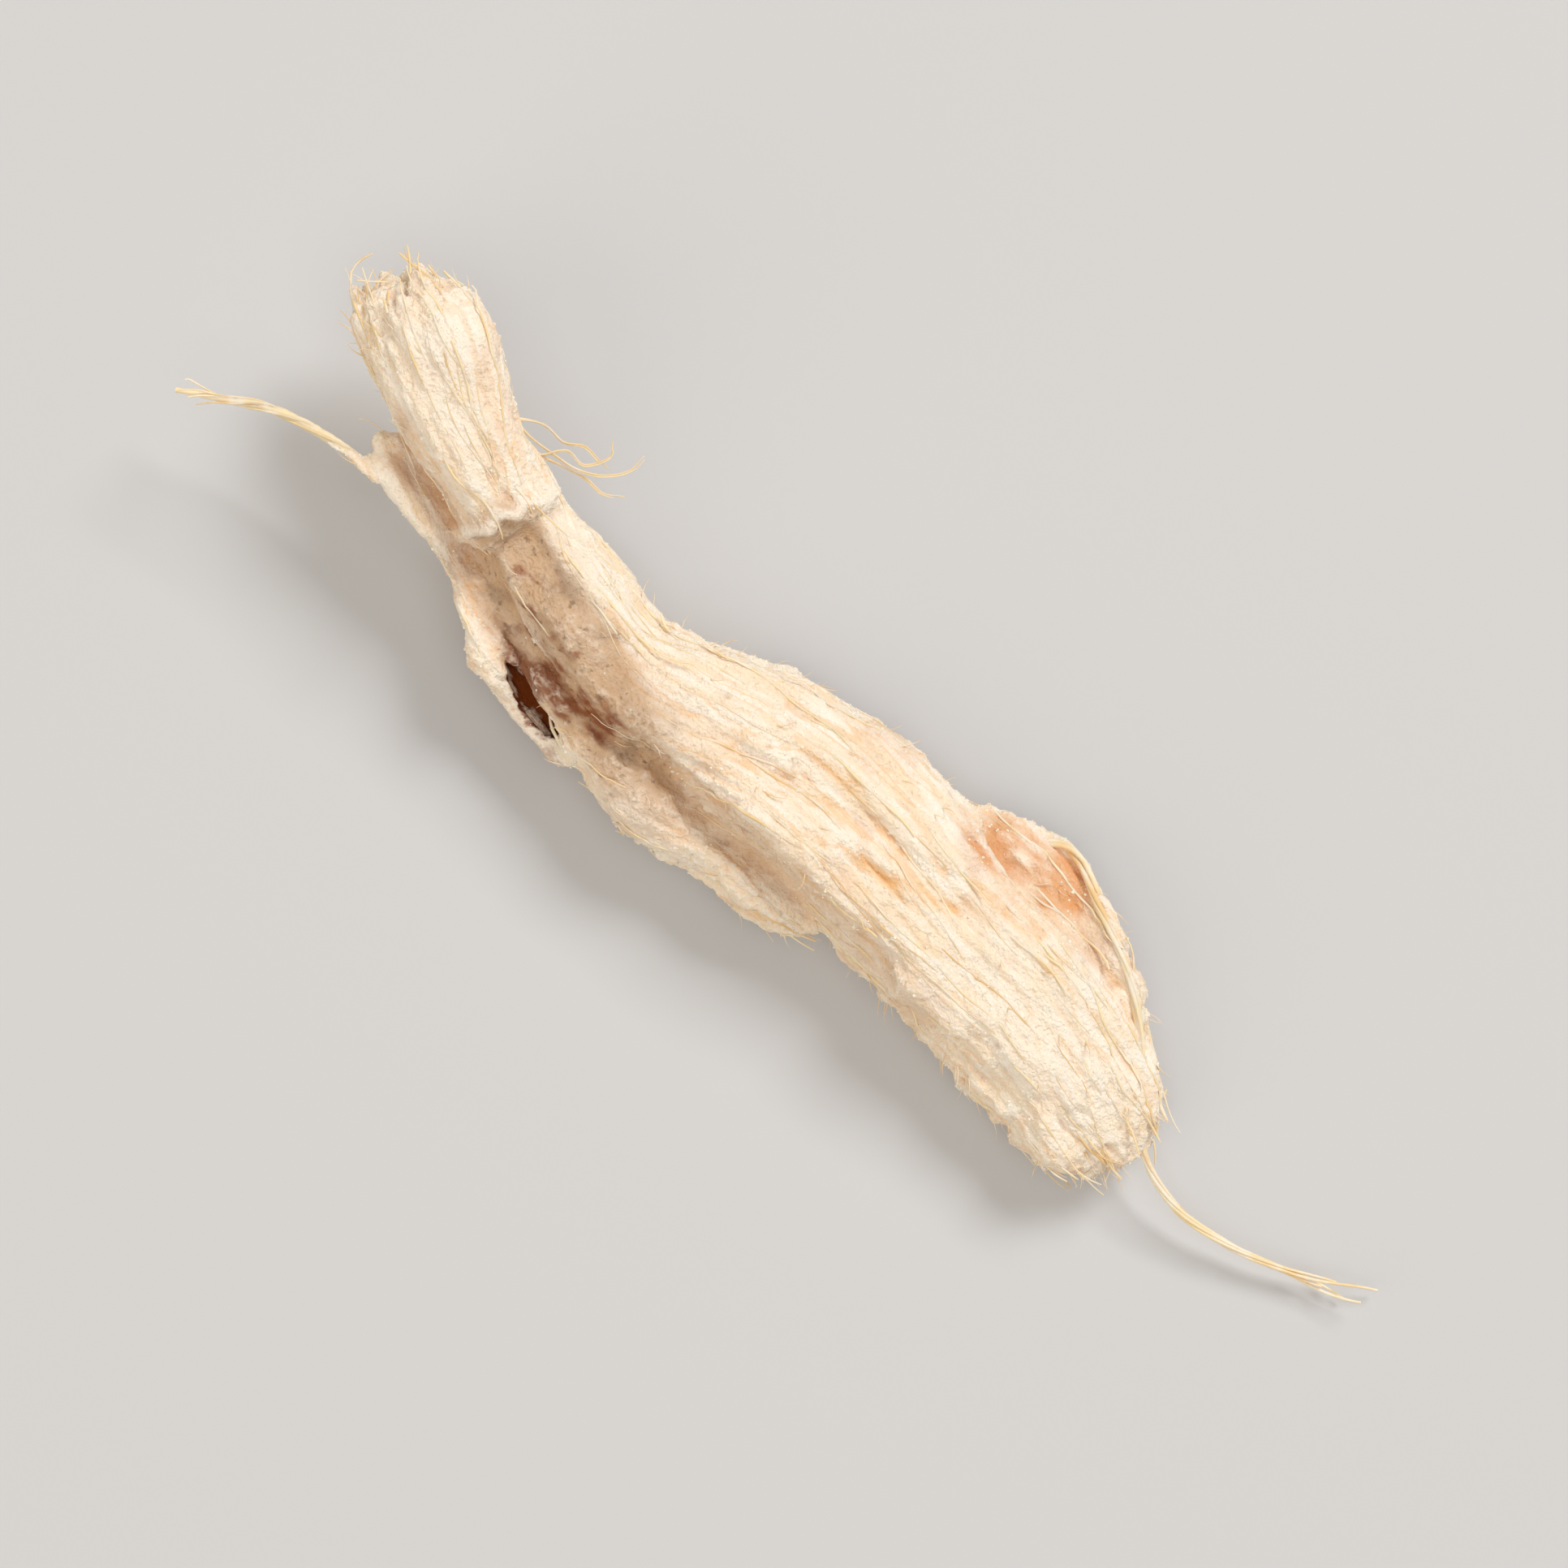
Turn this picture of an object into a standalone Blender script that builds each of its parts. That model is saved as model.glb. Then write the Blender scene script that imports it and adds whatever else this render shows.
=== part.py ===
"""One piece of chopped, dried ginger root: a long splinter torn along the fibres of the rhizome.

It is one grown body. It is modelled as the bundles of fibres that the splinter is made of, each a
loft along its own bent line, and the bundles are then fused into one solid. X runs from the thin
neck to the broad blade, Y across the splinter towards the shelf on its right edge, and Z is up.
The splinter lies on the flat that its belly is cut to, and the origin is under the middle of it.
"""

import math
import random

import bmesh
import bpy
from mathutils import Vector, noise

MM = 0.001

# Driving sizes of the splinter, in millimetres. The belly is cut off level at FLOOR.
FLOOR = 0.0
LUMP_SIZE = 1.1
RIDGE_SPACING = 0.46
RIDGE_STRETCH = 7.0
TEAR_SIZE = 0.35
SHARE_ABOVE = 0.62
RAGGED_FROM = 11.6
RAGGED_SIZE = 0.30
RAGGED_DEPTH = 0.26

# The places below are in millimetres along the splinter, across it and above the floor. Each
# bundle is a list of stations: place, then half width, half thickness and roll in degrees.
NECK = [
    (-0.15, -0.16, 2.26, 0.40, 0.22, 0),
    (0.40, -0.32, 2.32, 0.78, 0.46, 8),
    (1.35, -0.50, 2.30, 0.98, 0.66, 14),
    (2.25, -0.76, 2.20, 0.88, 0.74, 10),
    (3.10, -0.98, 2.05, 0.76, 0.76, 4),
    (3.90, -1.03, 1.86, 0.76, 0.78, 0),
    (4.40, -1.06, 1.72, 0.78, 0.80, 0),
]
BLADE = [
    (3.60, -1.06, 1.70, 0.58, 0.62, 0),
    (5.00, -1.12, 1.42, 0.82, 0.82, -6),
    (6.00, -1.24, 1.26, 0.92, 0.94, -10),
    (7.00, -1.20, 1.12, 0.96, 1.02, -14),
    (8.00, -0.84, 1.00, 1.06, 1.06, -14),
    (9.00, -0.32, 0.94, 1.28, 1.06, -12),
    (10.00, -0.04, 0.92, 1.38, 1.04, -10),
    (11.00, 0.22, 0.90, 1.46, 1.00, -8),
    (12.00, 0.28, 0.88, 1.40, 0.96, -6),
    (13.00, 0.36, 0.86, 1.26, 0.92, -4),
    (14.00, 0.50, 0.84, 1.34, 0.88, -2),
    (15.00, 0.66, 0.80, 1.44, 0.82, 0),
    (16.00, 0.56, 0.76, 1.32, 0.70, 2),
    (16.90, 0.32, 0.70, 0.98, 0.54, 2),
    (17.60, 0.06, 0.64, 0.56, 0.34, 0),
]
SIDE_LOBE = [
    (6.00, -1.84, 1.02, 0.30, 0.36, 0),
    (7.20, -2.06, 0.98, 0.50, 0.58, 12),
    (8.40, -2.08, 0.94, 0.56, 0.62, 18),
    (9.60, -1.90, 0.92, 0.54, 0.58, 20),
    (10.60, -1.62, 0.90, 0.42, 0.44, 14),
    (11.40, -1.40, 0.90, 0.28, 0.26, 4),
    (12.00, -1.26, 0.92, 0.11, 0.10, 0),
]
PEELED_RIBBON = [
    (8.20, -2.26, 0.90, 0.22, 0.20, 0),
    (7.10, -2.44, 1.04, 0.24, 0.18, 10),
    (5.80, -2.48, 1.30, 0.24, 0.16, 25),
    (4.60, -2.30, 1.58, 0.26, 0.15, 35),
    (3.50, -2.14, 1.84, 0.30, 0.14, 30),
    (2.60, -2.22, 1.98, 0.28, 0.13, 15),
    (1.70, -2.58, 2.02, 0.17, 0.12, 0),
    (0.90, -3.00, 1.94, 0.12, 0.10, 0),
    (0.20, -3.44, 1.80, 0.09, 0.09, 0),
    (-0.40, -3.98, 1.66, 0.07, 0.07, 0),
]
RIBBON_WEB = [
    (1.90, -2.06, 1.94, 0.14, 0.10, 0),
    (2.50, -1.78, 1.84, 0.34, 0.14, 20),
    (3.30, -1.78, 1.64, 0.46, 0.18, 22),
    (4.20, -1.90, 1.44, 0.42, 0.22, 18),
    (5.20, -2.04, 1.22, 0.26, 0.20, 10),
]
CREST_STRIP = [
    (7.20, -1.40, 1.92, 0.14, 0.14, -20),
    (8.40, -1.22, 1.92, 0.28, 0.18, -24),
    (9.80, -0.86, 1.86, 0.32, 0.18, -20),
    (11.20, -0.56, 1.80, 0.30, 0.17, -16),
    (12.60, -0.34, 1.72, 0.26, 0.16, -14),
    (13.80, -0.26, 1.56, 0.12, 0.12, -10),
]
RIGHT_STRIP = [
    (8.40, 0.08, 1.60, 0.12, 0.12, -30),
    (9.50, 0.68, 1.60, 0.28, 0.18, -30),
    (10.70, 1.02, 1.56, 0.34, 0.18, -26),
    (11.90, 1.34, 1.46, 0.30, 0.18, -22),
    (13.10, 1.42, 1.42, 0.22, 0.16, -18),
    (14.30, 1.72, 1.26, 0.12, 0.12, -10),
]
COLLAR_STRIP = [
    (3.70, -0.80, 2.34, 0.20, 0.14, -20),
    (4.50, -0.78, 2.24, 0.24, 0.15, -20),
    (5.50, -0.80, 2.12, 0.22, 0.14, -18),
    (6.90, -0.70, 2.00, 0.12, 0.10, -18),
]
SHELF = [
    (11.90, 1.24, 0.80, 0.30, 0.22, 0),
    (12.40, 1.56, 0.84, 0.62, 0.28, -10),
    (13.30, 1.80, 0.86, 0.88, 0.30, -16),
    (14.40, 1.74, 0.84, 0.74, 0.30, -14),
    (15.40, 1.52, 0.80, 0.52, 0.30, -8),
    (16.30, 1.20, 0.74, 0.24, 0.22, 0),
]
RIM_AND_TAIL = [
    (12.20, 2.04, 0.76, 0.12, 0.11, 0),
    (13.20, 2.60, 0.84, 0.13, 0.13, 0),
    (14.20, 2.44, 1.00, 0.14, 0.15, 0),
    (15.20, 2.16, 1.06, 0.15, 0.16, 0),
    (16.10, 1.72, 1.00, 0.16, 0.16, 0),
    (17.00, 1.00, 0.90, 0.17, 0.16, 0),
    (17.80, 0.62, 0.74, 0.15, 0.14, 0),
    (18.70, 0.58, 0.56, 0.12, 0.12, 0),
    (19.70, 0.94, 0.40, 0.10, 0.10, 0),
    (20.70, 1.52, 0.30, 0.08, 0.08, 0),
    (21.60, 2.10, 0.24, 0.06, 0.06, 0),
]
BELLY_RIB = [
    (4.60, -1.00, 0.86, 0.26, 0.30, 0),
    (6.40, -0.90, 0.46, 0.44, 0.42, 0),
    (8.60, -0.20, 0.32, 0.50, 0.44, 0),
    (10.80, 0.70, 0.34, 0.50, 0.40, 0),
    (13.00, 0.90, 0.34, 0.44, 0.38, 0),
    (15.20, 0.70, 0.36, 0.30, 0.28, 0),
]

# Strokes pressed into the upper face, or raised from it where the height is above zero: the
# path in plan, the height and the half width.
LOBE_FURROW = ([(6.9, -2.05), (8.3, -1.68), (9.4, -1.50), (10.2, -1.26), (11.6, -1.16)], -0.34, 0.20)
PLATEAU_CREST = ([(7.4, -1.35), (9.0, -1.10), (10.4, -0.72), (12.0, -0.46), (14.4, -0.30)], 0.15, 0.26)
MIDDLE_FURROW = ([(8.6, -0.62), (10.2, -0.10), (11.6, 0.42), (12.8, 0.62)], -0.15, 0.16)
RIGHT_FURROW = ([(9.4, 0.58), (10.6, 0.92), (11.6, 1.10)], -0.12, 0.14)
STAIN_HOLLOW = ([(5.2, -1.92), (6.2, -2.06), (7.1, -2.04)], -0.28, 0.20)
HOLLOW_BEHIND_COLLAR = ([(4.75, -1.90), (4.95, -1.10), (5.05, -0.30)], -0.12, 0.26)
STROKES = [
    LOBE_FURROW,
    PLATEAU_CREST,
    MIDDLE_FURROW,
    RIGHT_FURROW,
    STAIN_HOLLOW,
    HOLLOW_BEHIND_COLLAR,
]

# The torn splinters that stand out of an edge: the edge's ends, how many, how long they are, and
# which way they point.
BLADE_FRAY = ((12.2, -0.62, 0.66), (16.6, -0.46, 0.60), 8, 1.15, (0.93, -0.36, 0.0))
LOBE_FRAY = ((8.8, -2.24, 0.86), (11.2, -1.46, 0.86), 5, 1.10, (0.95, -0.20, 0.0))
TIP_FRAY = ((17.0, -0.12, 0.60), (17.1, 0.66, 0.66), 4, 0.80, (1.0, -0.06, 0.0))
NECK_FRAY = ((0.35, -0.72, 2.26), (0.30, 0.10, 2.34), 4, 0.85, (-1.0, 0.12, 0.0))
FRAYS = {"blade_fray": BLADE_FRAY, "lobe_fray": LOBE_FRAY, "tip_fray": TIP_FRAY, "neck_fray": NECK_FRAY}
SPLINTER_RADIUS = 0.13

FLESH_COLOUR = (0.86, 0.72, 0.53, 1.0)


def clear_scene():
    for obj in list(bpy.data.objects):
        bpy.data.objects.remove(obj)


def smooth_row(rows, at):
    """Catmull-Rom value of every column of the rows, at a place from 0 to 1."""
    spans = len(rows) - 1
    span = min(int(at * spans), spans - 1)
    t = at * spans - span
    before = rows[max(span - 1, 0)]
    start = rows[span]
    end = rows[span + 1]
    after = rows[min(span + 2, spans)]
    return [
        0.5 * (2 * b + (c - a) * t + (2 * a - 5 * b + 4 * c - d) * t * t + (3 * b - a - 3 * c + d) * t**3)
        for a, b, c, d in zip(before, start, end, after)
    ]


def end_closing(at, cap):
    """Share of the full section at a place from 0 to 1, where each end closes over a length of cap."""
    near = min(at, 1 - at) / cap
    return 1.0 if near >= 1 else math.sqrt(max(0.0, 1 - (1 - near) ** 2))


def foot_on_path(path, along, across):
    """Distance in plan from a point to a path, and the place of its foot on the path, from 0 to 1."""
    point = Vector((along, across))
    best = (math.inf, 0.0)
    for i, (start, end) in enumerate(zip(path, path[1:])):
        a = Vector(start)
        run = Vector(end) - a
        share = min(1.0, max(0.0, (point - a).dot(run) / run.length_squared))
        best = min(best, ((point - a - run * share).length, (i + share) / (len(path) - 1)))
    return best


def stroke_relief(point):
    """Height that the strokes add to the upper face at a point."""
    total = 0.0
    for path, height, half_width in STROKES:
        gap, share = foot_on_path(path, point.x, point.y)
        fade = math.sin(math.pi * (0.08 + 0.84 * share))
        total += height * fade * math.exp(-((gap / half_width) ** 2))
    return total


def ragged_edge(point, outward):
    """Jagged steps along the lower left edge, where the fibres broke off short."""
    if point.x < RAGGED_FROM or outward.y > 0:
        return 0.0
    step = noise.noise(Vector((point.x / RAGGED_SIZE, point.z * 1.5, 4.0)))
    return -outward.y * RAGGED_DEPTH * step * min(1.0, point.x - RAGGED_FROM)


def fibre_ridges(along, radial, seed):
    """Sharp ridges that run along the bundle, from noise that is stretched along its line."""
    where = Vector((along / RIDGE_STRETCH + seed, radial.x, radial.y)) / RIDGE_SPACING
    return 0.6 - 1.6 * abs(noise.noise(where)) + 0.5 * noise.noise(where * 2.1)


def section_angles(girth):
    """Angles round a section, with more of them on the upper half than below."""
    above = math.ceil(girth * SHARE_ABOVE)
    below = girth - above
    return [math.pi * j / above for j in range(above)] + [math.pi * (1 + j / below) for j in range(below)]


def loft(name, stations, rings, girth, ridge=0.0, lump=0.0, tear=0.0, cap=0.1, corner=1.0, strokes=False):
    """A closed bundle along its stations. A corner under 1 gives its section squarer shoulders."""
    seed = len(name) * 3.7 + stations[0][0]
    length = (Vector(stations[-1][:3]) - Vector(stations[0][:3])).length
    shape = bmesh.new()
    ring_verts = []
    for i in range(rings + 1):
        at = 0.5 - 0.5 * math.cos(math.pi * i / rings)
        at = 0.6 * i / rings + 0.4 * at
        x, y, z, half_width, half_thick, roll = smooth_row(stations, at)
        centre = Vector((x, y, z))
        ahead = Vector(smooth_row(stations, min(1.0, at + 0.01))[:3])
        behind = Vector(smooth_row(stations, max(0.0, at - 0.01))[:3])
        tangent = (ahead - behind).normalized()
        if i in (0, rings):
            ring_verts.append([shape.verts.new(centre)])
            continue
        level = Vector((0, 0, 1)).cross(tangent).normalized()
        upright = tangent.cross(level)
        turn = math.radians(roll)
        side = level * math.cos(turn) + upright * math.sin(turn)
        up = upright * math.cos(turn) - level * math.sin(turn)
        share = end_closing(at, cap)
        ring = []
        for angle in section_angles(girth):
            wide = math.copysign(abs(math.cos(angle)) ** corner, math.cos(angle)) * half_width
            high = math.copysign(abs(math.sin(angle)) ** corner, math.sin(angle)) * half_thick
            outward = (side * wide + up * high).normalized()
            point = centre + (side * wide + up * high) * share
            relief = ridge * fibre_ridges(at * length, Vector((wide, high)), seed)
            relief += lump * noise.noise(point / LUMP_SIZE + Vector((seed, seed, seed)))
            if strokes:
                relief += stroke_relief(point) * max(0.0, outward.z) + ragged_edge(point, outward)
            drawn_out = noise.noise(Vector((wide, high, seed)) / TEAR_SIZE) * (1 - share)
            point += outward * relief * share + tangent * tear * drawn_out
            ring.append(shape.verts.new(point))
        ring_verts.append(ring)
    for one, two in zip(ring_verts, ring_verts[1:]):
        for j in range(girth):
            k = (j + 1) % girth
            if len(one) == 1:
                shape.faces.new((one[0], two[j], two[k]))
            elif len(two) == 1:
                shape.faces.new((one[k], one[j], two[0]))
            else:
                shape.faces.new((one[j], two[j], two[k], one[k]))
    bmesh.ops.recalc_face_normals(shape, faces=shape.faces)
    bmesh.ops.scale(shape, vec=(MM, MM, MM), verts=shape.verts)
    mesh = bpy.data.meshes.new(name)
    shape.to_mesh(mesh)
    shape.free()
    return bpy.data.objects.new(name, mesh)


def frayed_edge(name, edge, draw):
    """Short pointed splinters whose roots are sunk in an edge, each bent a little its own way."""
    first, last, count, longest, pointing = edge
    made = []
    for i in range(count):
        foot = Vector(first).lerp(Vector(last), (i + draw.uniform(-0.3, 0.3)) / (count - 1))
        reach = longest * draw.uniform(0.55, 1.0)
        lean = Vector((draw.uniform(-0.1, 0.1), draw.uniform(-0.2, 0.2), draw.uniform(-0.2, 0.1)))
        way = (Vector(pointing) + lean).normalized()
        bow = Vector((0, 0, draw.uniform(-0.12, 0.12)))
        radius = SPLINTER_RADIUS * draw.uniform(0.8, 1.25)
        stations = []
        for step, size in ((-0.55, 1.3), (0.0, 1.1), (0.5, 0.75), (1.0, 0.3)):
            place = foot + way * reach * step + bow * (step + 0.5) * (1.0 - step)
            stations.append((*place, radius * size, radius * size, 0))
        made.append(loft(f"{name}_{i + 1}", stations, 4, 5, cap=0.2))
    return made


def make_bundles():
    """The blade, and the list of everything that is fused to it."""
    draw = random.Random(7)
    blade = loft("ginger_root_piece", BLADE, 78, 40, 0.15, 0.13, 0.35, 0.07, 0.78, strokes=True)
    others = [
        loft("neck", NECK, 28, 20, 0.10, 0.12, 0.90, 0.10, 0.90),
        loft("side_lobe", SIDE_LOBE, 24, 14, 0.09, 0.12, 0.10, 0.10),
        loft("peeled_ribbon", PEELED_RIBBON, 40, 8, 0.0, 0.05, 0.0, 0.02, 0.85),
        loft("ribbon_web", RIBBON_WEB, 14, 8, 0.03, 0.08, 0.0, 0.12),
        loft("crest_strip", CREST_STRIP, 22, 7, 0.0, 0.10, 0.0, 0.06),
        loft("right_strip", RIGHT_STRIP, 22, 7, 0.0, 0.10, 0.0, 0.06),
        loft("collar_strip", COLLAR_STRIP, 12, 6, 0.0, 0.08, 0.0, 0.08),
        loft("shelf", SHELF, 20, 12, 0.04, 0.08, 0.0, 0.10, 0.9),
        loft("rim_and_tail", RIM_AND_TAIL, 42, 6, 0.0, 0.04, 0.0, 0.02),
        loft("belly_rib", BELLY_RIB, 16, 8, 0.05, 0.10, 0.0, 0.10),
    ]
    for name, edge in FRAYS.items():
        others += frayed_edge(name, edge, draw)
    return blade, others


def resting_cutter():
    """A block whose top is the floor, which takes off the belly below it."""
    shape = bmesh.new()
    bmesh.ops.create_cube(shape, size=1.0)
    bmesh.ops.scale(shape, vec=(40 * MM, 20 * MM, 4 * MM), verts=shape.verts)
    bmesh.ops.translate(shape, vec=(9 * MM, 0, (FLOOR - 2) * MM), verts=shape.verts)
    mesh = bpy.data.meshes.new("floor_cutter")
    shape.to_mesh(mesh)
    shape.free()
    return bpy.data.objects.new("floor_cutter", mesh)


def keep_result(obj):
    """Makes the modifiers' result the object's own mesh."""
    bpy.context.view_layer.update()
    graph = bpy.context.evaluated_depsgraph_get()
    obj.data = bpy.data.meshes.new_from_object(obj.evaluated_get(graph))
    obj.modifiers.clear()


def fuse(body, others):
    """One Boolean union of the body with every other bundle, which are then removed."""
    bundles = bpy.data.collections.new("bundles")
    bpy.context.scene.collection.children.link(bundles)
    for obj in others:
        bundles.objects.link(obj)
    union = body.modifiers.new("fuse_bundles", "BOOLEAN")
    union.operation = "UNION"
    union.operand_type = "COLLECTION"
    union.collection = bundles
    union.solver = "EXACT"
    keep_result(body)
    for obj in others:
        bpy.data.objects.remove(obj)
    bpy.data.collections.remove(bundles)


def cut_resting_flat(body):
    """Cuts the belly level with the surface that the splinter lies on."""
    cutters = bpy.data.collections.new("cutters")
    bpy.context.scene.collection.children.link(cutters)
    block = resting_cutter()
    cutters.objects.link(block)
    cut = body.modifiers.new("cut_resting_flat", "BOOLEAN")
    cut.operation = "DIFFERENCE"
    cut.object = block
    cut.solver = "EXACT"
    keep_result(body)
    bpy.data.objects.remove(block)
    bpy.data.collections.remove(cutters)


def centre_over_origin(body):
    """Moves the mesh so that the middle of its base is the origin."""
    corners = [Vector(corner) for corner in body.bound_box]
    low, high = corners[0], corners[6]
    shift = Vector((-(low.x + high.x) / 2, -(low.y + high.y) / 2, -low.z))
    for vertex in body.data.vertices:
        vertex.co += shift


def dried_flesh():
    material = bpy.data.materials.new("dried_ginger")
    material.use_nodes = True
    shader = material.node_tree.nodes["Principled BSDF"]
    shader.inputs["Base Color"].default_value = FLESH_COLOUR
    shader.inputs["Roughness"].default_value = 0.9
    shader.inputs["Metallic"].default_value = 0.0
    return material


clear_scene()
ginger = bpy.data.collections.new("ginger_root_piece")
bpy.context.scene.collection.children.link(ginger)
splinter, fused_bundles = make_bundles()
ginger.objects.link(splinter)
fuse(splinter, fused_bundles)
cut_resting_flat(splinter)
centre_over_origin(splinter)
splinter.data.materials.clear()
splinter.data.materials.append(dried_flesh())
splinter.data.shade_smooth()
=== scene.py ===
import math
import random

import bmesh
import bpy
import numpy as np
from mathutils import Matrix, Vector, noise
from mathutils.bvhtree import BVHTree
from mathutils.kdtree import KDTree


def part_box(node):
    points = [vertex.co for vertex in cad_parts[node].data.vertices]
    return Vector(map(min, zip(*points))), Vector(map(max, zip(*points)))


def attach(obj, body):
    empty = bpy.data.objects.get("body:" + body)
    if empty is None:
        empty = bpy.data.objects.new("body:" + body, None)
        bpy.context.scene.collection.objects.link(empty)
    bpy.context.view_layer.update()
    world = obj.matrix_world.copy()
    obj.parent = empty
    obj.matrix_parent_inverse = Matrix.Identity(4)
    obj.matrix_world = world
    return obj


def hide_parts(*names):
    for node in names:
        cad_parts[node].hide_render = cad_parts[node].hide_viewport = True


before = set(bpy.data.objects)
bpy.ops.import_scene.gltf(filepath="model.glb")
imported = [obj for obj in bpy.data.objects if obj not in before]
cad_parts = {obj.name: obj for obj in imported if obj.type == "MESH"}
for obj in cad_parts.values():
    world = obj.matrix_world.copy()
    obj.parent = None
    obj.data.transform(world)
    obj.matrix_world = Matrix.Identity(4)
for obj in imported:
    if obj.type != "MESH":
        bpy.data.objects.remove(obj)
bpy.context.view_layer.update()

# The torn body of the piece. It is starchy flesh held together by long root fibres, torn from the
# rhizome along its grain and dried hard. A narrow crevice has opened beside the peeled ribbon, where a
# thin flap of flesh dried away from the side. Sizes are in millimetres, measured from the neck's end.
MM = 0.001
NODE = "ginger_root_piece"
BODY = "root"
FIRST_VOXEL = 0.055
VOXEL = 0.0474
THREAD_END = (-0.40, -3.98)
TAIL_FROM = 17.75
THREAD_BEFORE = 1.25
THREAD_BEYOND = -2.55
SOFTENING_ROUNDS = 3
FLAP_PATH = [(5.5, -2.66), (6.1, -2.72), (6.8, -2.68), (7.5, -2.60)]
FLAP_HALF_WIDTH = 0.24
FLAP_REACH = 0.24
CREVICE_PATH = [(5.60, -2.44), (6.0, -2.50), (6.5, -2.54), (7.0, -2.56), (7.36, -2.60)]
CREVICE_HALF_WIDTH = 0.115
CREVICE_FLOOR = (1.12, 0.86)
CREVICE_TOP = 3.5
CREVICE_POINTEDNESS = 1.2
THIN_PATH = [(5.5, -2.42), (5.9, -2.50), (6.4, -2.56)]
THIN_HALF_WIDTH = 0.34
THICKENING = 0.40
PATH_STEPS = 12
BLADE_STEPS = 6

low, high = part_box(NODE)
measured_from = np.array((low.x - THREAD_END[0] * MM, low.y - THREAD_END[1] * MM, 0.0))


def solid_in_millimetres():
    """The solid as one mesh, without its two hair-thin ends, which are fibres of their own below."""
    shape = bmesh.new()
    shape.from_mesh(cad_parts[NODE].data)
    bmesh.ops.remove_doubles(shape, verts=shape.verts, dist=1e-8)
    bmesh.ops.translate(shape, vec=-Vector(measured_from), verts=shape.verts)
    bmesh.ops.scale(shape, vec=(1 / MM, 1 / MM, 1 / MM), verts=shape.verts)
    thin = [v for v in shape.verts if v.co.x > TAIL_FROM]
    thin += [v for v in shape.verts if v.co.x < THREAD_BEFORE and v.co.y < THREAD_BEYOND]
    bmesh.ops.delete(shape, geom=thin, context="VERTS")
    bmesh.ops.holes_fill(shape, edges=shape.edges, sides=0)
    mesh = bpy.data.meshes.new("flesh")
    shape.to_mesh(mesh)
    shape.free()
    return mesh


def evaluated_mesh(obj):
    """The mesh that an object's modifiers make of it. The object itself is removed."""
    bpy.context.view_layer.update()
    mesh = bpy.data.meshes.new_from_object(obj.evaluated_get(bpy.context.evaluated_depsgraph_get()))
    bpy.data.objects.remove(obj)
    return mesh


def remeshed(mesh, voxel):
    """The same form as even small faces, so that relief can be carved into it."""
    blank = bpy.data.objects.new("blank", mesh)
    bpy.context.scene.collection.objects.link(blank)
    remesh = blank.modifiers.new("even_faces", "REMESH")
    remesh.mode = "VOXEL"
    remesh.voxel_size = voxel
    return evaluated_mesh(blank)


def coordinates(mesh):
    flat = np.empty(len(mesh.vertices) * 3, np.float32)
    mesh.vertices.foreach_get("co", flat)
    return flat.reshape(-1, 3).astype(float)


def normals(mesh):
    flat = np.empty(len(mesh.vertices) * 3, np.float32)
    mesh.vertices.foreach_get("normal", flat)
    return flat.reshape(-1, 3).astype(float)


def set_coordinates(mesh, places):
    mesh.vertices.foreach_set("co", places.astype(np.float32).ravel())
    mesh.update()


def edge_ends(mesh):
    flat = np.empty(len(mesh.edges) * 2, np.int32)
    mesh.edges.foreach_get("vertices", flat)
    return flat.reshape(-1, 2)


def softened(values, ends, rounds):
    """The values after each vertex has been moved halfway to its neighbours' mean, so many times."""
    count = np.bincount(ends.ravel(), minlength=len(values))[:, None]
    for _ in range(rounds):
        total = np.zeros_like(values)
        for column in range(values.shape[1]):
            total[:, column] += np.bincount(ends[:, 0], values[ends[:, 1], column], len(values))
            total[:, column] += np.bincount(ends[:, 1], values[ends[:, 0], column], len(values))
        values = 0.5 * values + 0.5 * total / count
    return values


def largest_part(mesh):
    """The mesh without the crumbs that remeshing leaves where the solid is thinner than a face."""
    shape = bmesh.new()
    shape.from_mesh(mesh)
    unseen = set(shape.verts)
    parts = []
    while unseen:
        front = {unseen.pop()}
        part = set(front)
        while front:
            front = {edge.other_vert(v) for v in front for edge in v.link_edges} & unseen
            unseen -= front
            part |= front
        parts.append(part)
    parts.sort(key=len)
    bmesh.ops.delete(shape, geom=[v for part in parts[:-1] for v in part], context="VERTS")
    shape.to_mesh(mesh)
    shape.free()
    return mesh


def smooth_line(points, steps):
    """Points along a smooth curve through the given ones."""
    rows = [Vector(point) for point in points]
    rows = [2 * rows[0] - rows[1], *rows, 2 * rows[-1] - rows[-2]]
    line = []
    for a, b, c, d in zip(rows, rows[1:], rows[2:], rows[3:]):
        for t in (i / steps for i in range(steps)):
            square = (2 * a - 5 * b + 4 * c - d) * t**2
            cube = (3 * b - a - 3 * c + d) * t**3
            line.append(0.5 * (2 * b + (c - a) * t + square + cube))
    return np.array([*line, rows[-2]])


def smooth_step(values, start, end):
    share = np.clip((values - start) / (end - start), 0, 1)
    return share * share * (3 - 2 * share)


def nearness(places, path, half_width):
    """How near each place is in plan to a path, from 0 to 1, dying away past its half width."""
    line = smooth_line(path, PATH_STEPS)
    gap = np.full(len(places), np.inf)
    for point in line:
        gap = np.minimum(gap, np.linalg.norm(places[:, :2] - point, axis=1))
    return np.exp(-((gap / half_width) ** 2))


def crevice_floor_at(places):
    """The height of the crevice's floor, which slopes down towards its lower end."""
    return np.interp(places[:, 0], (CREVICE_PATH[0][0], CREVICE_PATH[-1][0]), CREVICE_FLOOR)


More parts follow.
